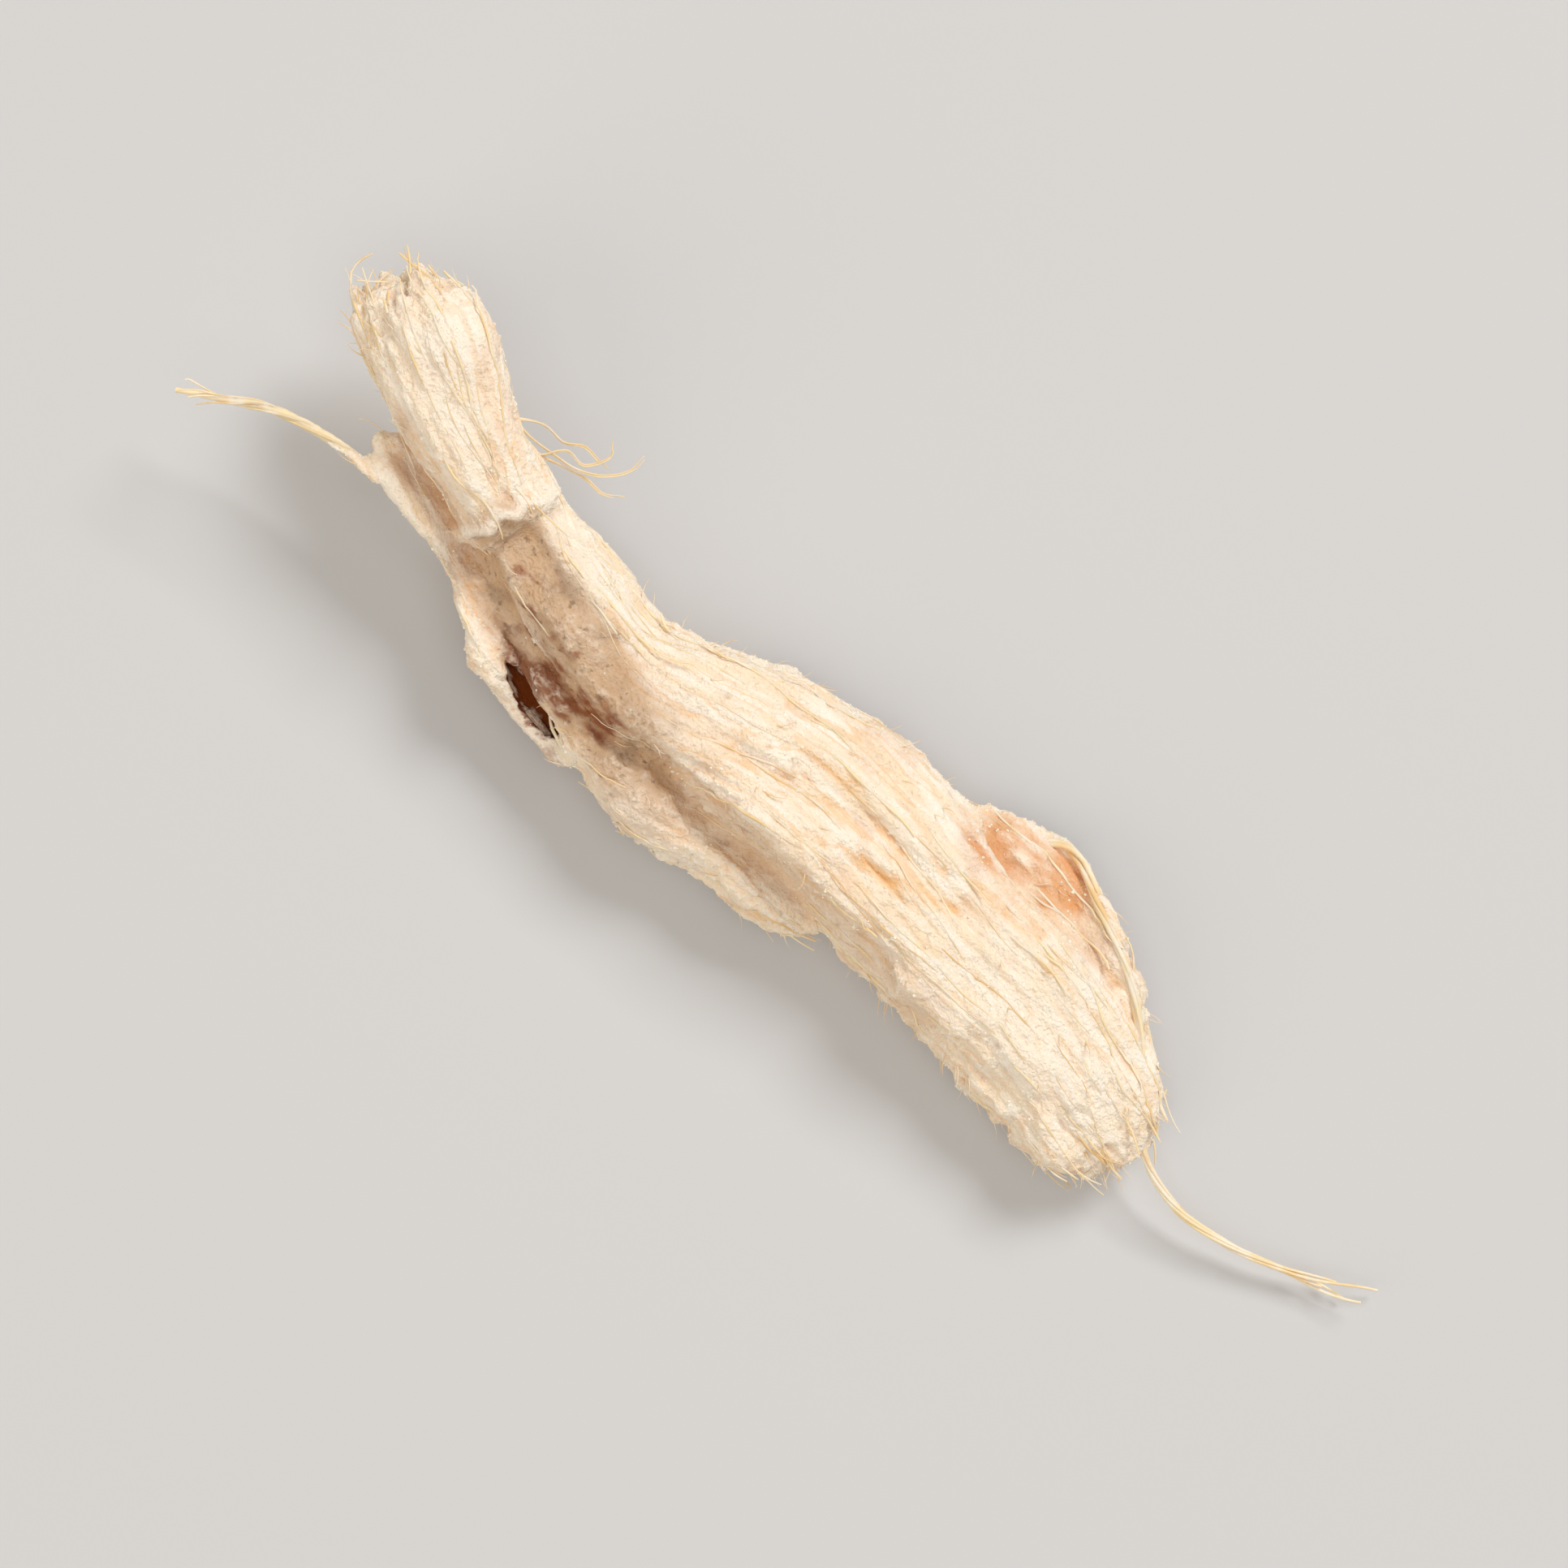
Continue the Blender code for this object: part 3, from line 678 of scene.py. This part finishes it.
box_floor = (np.array(low) - measured_from) / MM - BOX_MARGIN
box_floor[2] = LOWEST
box_top = (np.array(high) - measured_from) / MM + BOX_MARGIN
draw = random.Random(11)


def new_tree(name, takes, gives):
    """A Geometry Nodes tree with its named inputs, and the sockets that those come in by."""
    tree = bpy.data.node_groups.new(name, "GeometryNodeTree")
    for socket, kind in takes.items():
        tree.interface.new_socket(socket, in_out="INPUT", socket_type=f"NodeSocket{kind}")
    tree.interface.new_socket(gives, in_out="OUTPUT", socket_type="NodeSocketGeometry")
    return tree, add_node(tree, "NodeGroupInput").outputs


def end_tree(tree, geometry, finish, gives):
    """The tree's last nodes, which make its instances real and give them their finish."""
    real = add_node(tree, "GeometryNodeRealizeInstances", {"Geometry": geometry}).outputs[0]
    done = add_node(tree, "GeometryNodeSetMaterial", {"Geometry": real, "Material": finish}).outputs[0]
    add_node(tree, "NodeGroupOutput", {gives: done})


def stored_in(tree, geometry, name, value, domain):
    inputs = {"Geometry": geometry, "Name": name, "Value": value}
    kinds = {"data_type": "FLOAT", "domain": domain}
    return add_node(tree, "GeometryNodeStoreNamedAttribute", inputs, **kinds).outputs[0]


def round_section(tree, sides):
    circle = {"Resolution": sides, "Radius": 1.0}
    return add_node(tree, "GeometryNodeCurvePrimitiveCircle", circle).outputs[0]


def fibre_tree():
    """Sweeps a round section along each line, as wide as the line's radius says, with a tint for each."""
    takes = {"Line": "Geometry", "Sides": "Int", "Seed": "Int", "Finish": "Material"}
    tree, given = new_tree("fibre_from_line", takes, "Fibres")
    tint = add_node(tree, "FunctionNodeRandomValue", {"Seed": given["Seed"]}, data_type="FLOAT").outputs[1]
    tinted = stored_in(tree, given["Line"], "tint", tint, "CURVE")
    width = add_node(tree, "GeometryNodeInputRadius").outputs[0]
    section = round_section(tree, given["Sides"])
    swept = {"Curve": tinted, "Profile Curve": section, "Scale": width, "Fill Caps": True}
    tube = add_node(tree, "GeometryNodeCurveToMesh", swept).outputs[0]
    end_tree(tree, tube, given["Finish"], "Fibres")
    return tree


def grown(holder, tree, **inputs):
    """The mesh that a Geometry Nodes tree makes of an object with the named inputs."""
    bpy.context.scene.collection.objects.link(holder)
    modifier = holder.modifiers.new(tree.name, "NODES")
    modifier.node_group = tree
    for socket in tree.interface.items_tree:
        if socket.in_out == "INPUT" and socket.name in inputs:
            modifier[socket.identifier] = inputs[socket.name]
    return evaluated_mesh(holder)


def swept_fibres(name, lines, sides, seed, finish):
    """One piece from lines, each a list of places and a list of radii in millimetres."""
    curve = bpy.data.curves.new(name, "CURVE")
    curve.dimensions = "3D"
    for places, radii in lines:
        spline = curve.splines.new("POLY")
        spline.points.add(len(places) - 1)
        kept = np.clip(places, box_floor + np.array(radii)[:, None], box_top - np.array(radii)[:, None])
        spline.points.foreach_set("co", np.column_stack([kept, np.ones(len(kept))]).ravel())
        spline.points.foreach_set("radius", radii)
    mesh = grown(bpy.data.objects.new(name, curve), FIBRE_TREE, Sides=sides, Seed=seed, Finish=finish)
    return finished_piece(mesh, name, finish)


def heading_at(place):
    """The grain's heading at a place, as a level vector."""
    nearest = ((grain_line - (place.x, place.y)) ** 2).sum(axis=1).argmin()
    return Vector((*grain_heading[nearest], 0.0))


def thickness_along(count, radius, blunt):
    """Radii of a fibre that thins towards both ends, less so the blunter it is, with slight swellings."""
    phase = draw.uniform(0, FULL_TURN)
    radii = []
    for step in range(count):
        part = (step + 0.5) / count
        swelling = 1 + 0.14 * math.sin(phase + step * 0.9)
        radii.append(radius * swelling * (blunt + (1 - blunt) * math.sin(math.pi * part) ** 0.5))
    return radii


def surface_strand(start, sign, length, radius, rise, overshoot):
    """A fibre traced along the grain, sunk in at its start. Where the surface falls away it runs on free."""
    place = Vector(start)
    drift = draw.uniform(-0.16, 0.16)
    sway = draw.uniform(0, FULL_TURN)
    bend = Vector((draw.gauss(0, 0.10), draw.gauss(0, 0.10), draw.gauss(-0.02, 0.10)))
    places = []
    count = max(6, round(length / STRAND_STEP))
    free = 0
    direction = heading_at(place) * sign
    for step in range(count):
        part = step / count
        ahead = heading_at(place) * sign
        located, normal, _, _ = torn_surface.find_nearest(place)
        if free or (normal.dot(ahead) > 0.55 and step > 2):
            free += 1
            direction = (direction + bend).normalized()
            place = place + direction * STRAND_STEP
            places.append(place.copy())
            if free * STRAND_STEP > overshoot:
                break
            continue
        direction = (ahead - normal * ahead.dot(normal)).normalized()
        direction += normal.cross(direction) * (drift + 0.12 * math.sin(sway + step * 0.45))
        sunk = -1.1 * max(0, 1 - 5 * part) - 0.15 + 0.35 * math.sin(sway + step * 0.7)
        lifted = rise * max(0, (part - 0.6) / 0.4) ** 2
        places.append(located + normal * (sunk * radius + lifted))
        place = located + direction.normalized() * STRAND_STEP
    return np.array(places), thickness_along(len(places), radius, 0.35)


# The finish of the fibres: straw to amber, a little glossier than the flesh, dusted with its starch.
STRAW = tone(250, 226, 184)
AMBER = tone(232, 178, 112)


def fibre_finish():
    material, tree, shader = new_material("root_fibre")
    tint = add_node(tree, "ShaderNodeAttribute", attribute_name="tint").outputs["Fac"]
    dust = noise_texture(tree, millimetre_places(tree), 2.2, 5.0)
    colour = laid_over(tree, STRAW, calculate(tree, "POWER", tint, 2.0), 0.65, AMBER)
    colour = laid_over(tree, colour, step_between(tree, dust, 0.40, 0.64), 0.6, PALE_STARCH)
    tree.links.new(colour, shader.inputs["Base Color"])
    set_bump(tree, shader, dust, 0.6, 0.015)
    shader.inputs["Roughness"].default_value = 0.62
    shader.inputs["Specular IOR Level"].default_value = 0.35
    set_depth_of_light(shader, 0.3, 0.15, (1.0, 0.6, 0.3))
    return material


FIBRE_TREE = fibre_tree()
FIBRE_FINISH = fibre_finish()

upward = [i for i in range(len(final)) if facing[i, 2] > -0.45 and skin[i] + draw.random() < 1.15]
strands = []
for _ in range(STRAND_COUNT):
    seat = final[draw.choice(upward)]
    sign = draw.choice((-1, 1))
    length = draw.uniform(*STRAND_LENGTHS) * draw.uniform(0.5, 1)
    rise = draw.choice(STRAND_RISES)
    radius = draw.uniform(*STRAND_RADII)
    strands.append(surface_strand(seat, sign, length, radius, rise, draw.uniform(0.1, 0.5)))
neck_seats = [i for i in upward if 0.9 < final[i, 0] < 1.9 and final[i, 1] > -1.9]
tip_seats = [i for i in upward if final[i, 0] > 15.6]
for seats, sign in ((neck_seats, -1), (tip_seats, 1)):
    for _ in range(END_STRAND_COUNT):
        seat = final[draw.choice(seats)]
        radius = draw.uniform(*END_STRAND_RADII)
        strands.append(surface_strand(seat, sign, END_STRAND_LENGTH, radius, 0, draw.uniform(0.05, 0.3)))
swept_fibres("surface_strands", strands, STRAND_SIDES, STRAND_SEED, FIBRE_FINISH)

# The long loose fibres. The strand along the shelf's rim runs on past the tip as a tail, another one
# leaves the peeled ribbon, and a few thin ones curl out beside the collar. Each is a loosely wound
# bundle of finer fibres that part towards its free end.
LOOSE_FIBRE_SIDES = 8
LOOSE_FIBRE_SEED = 7
BUNDLE_STEPS = 10
RIM_ROUTE = [
    (12.7, 2.05, 0.72), (13.3, 2.58, 0.92), (14.2, 2.42, 1.14), (15.2, 2.16, 1.18), (16.1, 1.72, 1.10),
    (17.0, 1.02, 0.98), (17.8, 0.62, 0.78), (18.7, 0.58, 0.58), (19.7, 0.94, 0.42), (20.7, 1.52, 0.30),
    (21.6, 2.10, 0.22),
]
CURL_ROUTES = [
    [(2.5, -0.42, 2.30), (3.0, -0.20, 2.12), (3.44, -0.14, 1.98), (3.85, -0.02, 1.84), (4.2, 0.11, 1.72),
     (4.51, 0.36, 1.60), (4.70, 0.72, 1.54), (4.68, 1.05, 1.58)],
    [(2.7, -0.40, 2.20), (3.15, -0.26, 2.02), (3.6, -0.24, 1.88), (4.05, -0.02, 1.72), (4.4, 0.14, 1.58),
     (4.72, 0.20, 1.50), (4.98, 0.42, 1.42)],
    [(2.9, -0.38, 2.26), (3.2, -0.02, 2.08), (3.44, 0.14, 1.96), (3.77, 0.20, 1.84), (4.0, 0.41, 1.72),
     (4.27, 0.45, 1.64), (4.50, 0.48, 1.60)],
    [(3.3, -0.44, 2.12), (3.7, -0.20, 1.92), (3.9, 0.16, 1.80), (4.22, 0.24, 1.66), (4.36, 0.62, 1.62),
     (4.2, 0.80, 1.66)],
]


def wound_bundle(route, count, spread, radius, turns):
    """Lines of fibres that rise from the flesh as one bundle, wind round its route and part at its end."""
    centre = [Vector(place) for place in smooth_line(route, BUNDLE_STEPS)]
    lines = []
    for fibre in range(count):
        phase = FULL_TURN * fibre / count + draw.uniform(-0.4, 0.4)
        until = len(centre) - (0 if fibre == 0 else draw.randrange(0, 9))
        places = []
        for step in range(until):
            part = step / len(centre)
            tangent = (centre[min(step + 1, len(centre) - 1)] - centre[max(step - 1, 0)]).normalized()
            side = tangent.cross(Vector((0, 0, 1))).normalized()
            up = side.cross(tangent)
            turn = phase + FULL_TURN * turns * part + 0.5 * math.sin(5 * part + fibre)
            away = spread * (0.75 + 0.25 * math.sin(9 * part + 2 * fibre))
            away += 3.0 * spread * max(0, part - 0.86) / 0.14
            places.append(centre[step] + (side * math.cos(turn) + up * math.sin(turn)) * away)
        radii = [
            radius * min(1, 0.3 + step / 9) * (1 - 0.55 * (step / until) ** 2) * draw.uniform(0.9, 1.1)
            for step in range(until)
        ]
        lines.append((np.array(places), radii))
    return lines


loose = wound_bundle(RIM_ROUTE, count=5, spread=0.050, radius=0.042, turns=2.6)
loose += wound_bundle(RIBBON_ROUTE, count=1, spread=0.0, radius=0.085, turns=0)
loose += wound_bundle(RIBBON_ROUTE, count=6, spread=0.072, radius=0.026, turns=1.1)
for route in CURL_ROUTES:
    loose += wound_bundle(route, count=2, spread=0.016, radius=0.017, turns=0.8)
swept_fibres("loose_fibres", loose, LOOSE_FIBRE_SIDES, LOOSE_FIBRE_SEED, FIBRE_FINISH)

# The fuzz of broken fibre ends. Short fine hairs stand out of the torn ends, the lobe and the ragged
# left edge, leaning along the grain. They are what is left where thin fibres snapped.
HAIR_COUNT_PER_MM2 = 20.0
HAIR_LENGTHS = (0.06, 0.32)
HAIR_SEED = 3

seat_grain, seat_heading = grain_places(final)
toward_end = np.where(seat_grain[:, 0] > 9.5, 1.0, -1.0)[:, None]
lean = np.column_stack([seat_heading * toward_end, np.zeros(len(final))]) * 0.8 + facing * 0.5
fray = 0.10 + 0.9 * np.clip(brink * smooth_step(relief, 0.0, 0.7), 0, 1)
fray = np.maximum(fray, smooth_step(-final[:, 0], -1.6, -0.8))
fray = np.maximum(fray, smooth_step(final[:, 0], 16.2, 17.2))
fray = np.maximum(fray, 0.6 * nearness(final, LOBE_PATH, 0.4) * smooth_step(relief, 0.0, 0.8))
fray *= smooth_step(facing[:, 2], -0.7, -0.3) * (1 - np.clip(stain_and_crevice_shade, 0, 1))
store(fuzz_ground, "fray", fray)
store(fuzz_ground, "lean", lean)


def kept_value(tree, name, kind="FLOAT"):
    """What the ground has stored for each vertex under a name."""
    return add_node(tree, "GeometryNodeInputNamedAttribute", {"Name": name}, data_type=kind).outputs[0]


def seats_on(tree, given, share):
    """Points strewn over the ground, as densely as its stored share says."""
    density = calculate(tree, "MULTIPLY", kept_value(tree, share), given["Density"])
    scatter = {"Mesh": given["Ground"], "Density": density, "Seed": given["Seed"]}
    return add_node(tree, "GeometryNodeDistributePointsOnFaces", scatter).outputs["Points"]


def random_vector(tree, given, least, most):
    inputs = {"Min": least, "Max": most, "Seed": given["Seed"]}
    return add_node(tree, "FunctionNodeRandomValue", inputs, data_type="FLOAT_VECTOR").outputs[0]


def hair_tree():
    """Plants bent, tapered hairs on a mesh, as densely as its fray says, each along its lean."""
    takes = {"Ground": "Geometry", "Density": "Float", "Shortest": "Float", "Longest": "Float"}
    tree, given = new_tree("hairs_on_surface", takes | {"Seed": "Int", "Finish": "Material"}, "Hairs")
    seats = seats_on(tree, given, "fray")
    stray = random_vector(tree, given, (-0.55, -0.55, -0.35), (0.55, 0.55, 0.55))
    towards = {0: kept_value(tree, "lean", "FLOAT_VECTOR"), 1: stray}
    aim = add_node(tree, "ShaderNodeVectorMath", towards, operation="ADD").outputs[0]
    aligned = add_node(tree, "FunctionNodeAlignRotationToVector", {"Vector": aim}, axis="Z").outputs[0]
    roll = random_vector(tree, given, (0.0, 0.0, 0.0), (0.0, 0.0, FULL_TURN))
    spin = add_node(tree, "FunctionNodeEulerToRotation", {"Euler": roll}).outputs[0]
    turned = {"Rotation": aligned, "Rotate By": spin}
    facing_out = add_node(tree, "FunctionNodeRotateRotation", turned, rotation_space="LOCAL").outputs[0]
    sizes = {2: given["Shortest"], 3: given["Longest"], "Seed": given["Seed"]}
    length = add_node(tree, "FunctionNodeRandomValue", sizes, data_type="FLOAT").outputs[1]
    bow = {"Resolution": 4, "Start": (0, 0, -0.15), "Middle": (0, 0, 0.6), "End": (0.4, 0, 1.0)}
    stem = add_node(tree, "GeometryNodeCurveQuadraticBezier", bow).outputs[0]
    part_way = add_node(tree, "GeometryNodeSplineParameter").outputs["Factor"]
    taper = calculate(tree, "MULTIPLY_ADD", part_way, -0.034, 0.046)
    swept = {"Curve": stem, "Profile Curve": round_section(tree, 4), "Scale": taper, "Fill Caps": True}
    hair = add_node(tree, "GeometryNodeCurveToMesh", swept).outputs[0]
    planted = {"Points": seats, "Instance": hair, "Rotation": facing_out, "Scale": length}
    hairs = add_node(tree, "GeometryNodeInstanceOnPoints", planted).outputs[0]
    tint = add_node(tree, "FunctionNodeRandomValue", {"Seed": given["Seed"]}, data_type="FLOAT").outputs[1]
    end_tree(tree, stored_in(tree, hairs, "tint", tint, "INSTANCE"), given["Finish"], "Hairs")
    return tree


def within_box(mesh):
    """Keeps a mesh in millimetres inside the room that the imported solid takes."""
    set_coordinates(mesh, np.clip(coordinates(mesh), box_floor, box_top))
    return mesh


hair_mesh = grown(
    bpy.data.objects.new("hair_ground", fuzz_ground), hair_tree(), Density=HAIR_COUNT_PER_MM2,
    Shortest=HAIR_LENGTHS[0], Longest=HAIR_LENGTHS[1], Seed=HAIR_SEED, Finish=FIBRE_FINISH,
)
finished_piece(within_box(hair_mesh), "broken_fuzz", FIBRE_FINISH)

# The crumbs of starch. Torn flesh sheds a coarse powder, and its grains cling to every rough place,
# thickest along the ragged edges. They are small irregular grains half sunk in the surface.
GRAIN_COUNT_PER_MM2 = 330.0
GRAIN_SIZES = (0.007, 0.026)
GRAIN_SEED = 8

crumble = 0.25 + 0.75 * np.clip(np.maximum(brink, flank) * smooth_step(relief, -0.2, 0.6), 0, 1)
crumble *= (1 - 0.9 * skin) * (1 - np.clip(stain_and_crevice_shade, 0, 1)) * smooth_step(facing[:, 2], -0.7, -0.3)
crumble *= smooth_step(noise_at(final, 0.5, 1.0, 81.0), -0.25, 0.35)
store(fuzz_ground, "crumble", crumble)


def crumb_tree():
    """Scatters small squashed grains on a mesh, as densely as its crumble says."""
    takes = {"Ground": "Geometry", "Density": "Float", "Smallest": "Float", "Largest": "Float"}
    tree, given = new_tree("crumbs_on_surface", takes | {"Seed": "Int", "Finish": "Material"}, "Crumbs")
    seats = seats_on(tree, given, "crumble")
    grain_ball = add_node(tree, "GeometryNodeMeshIcoSphere", {"Radius": 1.0, "Subdivisions": 1}).outputs[0]
    roll = random_vector(tree, given, (0.0, 0.0, 0.0), (FULL_TURN, FULL_TURN, FULL_TURN))
    squash = random_vector(tree, given, (0.55, 0.55, 0.55), (1.45, 1.45, 1.45))
    share = add_node(tree, "FunctionNodeRandomValue", {"Seed": given["Seed"]}, data_type="FLOAT").outputs[1]
    spread = calculate(tree, "SUBTRACT", given["Largest"], given["Smallest"])
    size = calculate(tree, "MULTIPLY_ADD", calculate(tree, "POWER", share, 3.0), spread, given["Smallest"])
    sized = {0: squash, "Scale": size}
    scale = add_node(tree, "ShaderNodeVectorMath", sized, operation="SCALE").outputs[0]
    spin = add_node(tree, "FunctionNodeEulerToRotation", {"Euler": roll}).outputs[0]
    planted = {"Points": seats, "Instance": grain_ball, "Rotation": spin, "Scale": scale}
    crumbs = add_node(tree, "GeometryNodeInstanceOnPoints", planted).outputs[0]
    end_tree(tree, crumbs, given["Finish"], "Crumbs")
    return tree


def starch_finish():
    material, tree, shader = new_material("loose_starch")
    tints = noise_texture(tree, millimetre_places(tree), 2.5, 3.0)
    colour = blend_colours(tree, step_between(tree, tints, 0.4, 0.66), PALE_STARCH, CREAM)
    tree.links.new(colour, shader.inputs["Base Color"])
    shader.inputs["Roughness"].default_value = 0.9
    shader.inputs["Specular IOR Level"].default_value = 0.2
    set_depth_of_light(shader, 0.3, 0.1)
    return material


STARCH_FINISH = starch_finish()
crumb_mesh = grown(
    bpy.data.objects.new("crumb_ground", fuzz_ground), crumb_tree(), Density=GRAIN_COUNT_PER_MM2,
    Smallest=GRAIN_SIZES[0], Largest=GRAIN_SIZES[1], Seed=GRAIN_SEED, Finish=STARCH_FINISH,
)
finished_piece(within_box(crumb_mesh), "starch_crumbs", STARCH_FINISH, rounded=False)

# The surface it lies on is plain and pale. Soft studio light comes from the upper right, with a warm
# bounce from the lower left. The camera looks straight down, turned so that the blade points down to
# the right.
CAMERA_TURN = math.radians(52.7)
CAMERA_SHIFT = (-0.75, 0.35, 0.0)
FRAME_WIDTH = 23.6 * MM
LENS = 135.0
SENSOR = 36.0
FLOOR_COLOUR = (0.60, 0.615, 0.64, 1.0)
STUDIO_COLOUR = (1.0, 0.90, 0.78, 1.0)
STUDIO_BRIGHTNESS = 0.36

floor_mesh = bpy.data.meshes.new("floor")
floor_mesh.from_pydata([(-2, -2, 0), (2, -2, 0), (2, 2, 0), (-2, 2, 0)], [], [(0, 1, 2, 3)])
floor = bpy.data.objects.new("floor", floor_mesh)
bpy.context.scene.collection.objects.link(floor)
floor_material, _, floor_shader = new_material("pale_table")
floor_shader.inputs["Base Color"].default_value = FLOOR_COLOUR
floor_shader.inputs["Roughness"].default_value = 0.7
floor_shader.inputs["Specular IOR Level"].default_value = 0.2
floor_mesh.materials.append(floor_material)


def soft_light(name, place, size, power, colour):
    """A square area light that faces the middle of the piece."""
    data = bpy.data.lights.new(name, "AREA")
    data.size = size
    data.energy = power
    data.color = colour
    light = bpy.data.objects.new(name, data)
    light.location = place
    light.rotation_euler = Vector(place).to_track_quat("Z", "Y").to_euler()
    bpy.context.scene.collection.objects.link(light)


soft_light("window", (-0.08, 0.42, 0.38), size=0.20, power=2.1, colour=(1.0, 0.98, 0.96))
soft_light("overhead", (0.10, -0.05, 0.60), size=0.50, power=1.05, colour=(1.0, 0.98, 0.95))
soft_light("bounce", (-0.05, -0.42, 0.30), size=0.45, power=0.8, colour=(1.0, 0.87, 0.70))
world = bpy.data.worlds.new("studio")
world.use_nodes = True
world.node_tree.nodes["Background"].inputs["Color"].default_value = STUDIO_COLOUR
world.node_tree.nodes["Background"].inputs["Strength"].default_value = STUDIO_BRIGHTNESS
bpy.context.scene.world = world
bpy.context.scene.view_settings.view_transform = "Standard"

camera_data = bpy.data.cameras.new("camera")
camera_data.lens = LENS
camera_data.sensor_width = SENSOR
camera_data.clip_start = 0.01
camera = bpy.data.objects.new("camera", camera_data)
middle = (low + high) / 2 + Vector(CAMERA_SHIFT) * MM
camera.location = (middle.x, middle.y, middle.z + FRAME_WIDTH * LENS / SENSOR)
camera.rotation_euler = (0, 0, CAMERA_TURN)
bpy.context.scene.collection.objects.link(camera)
bpy.context.scene.camera = camera
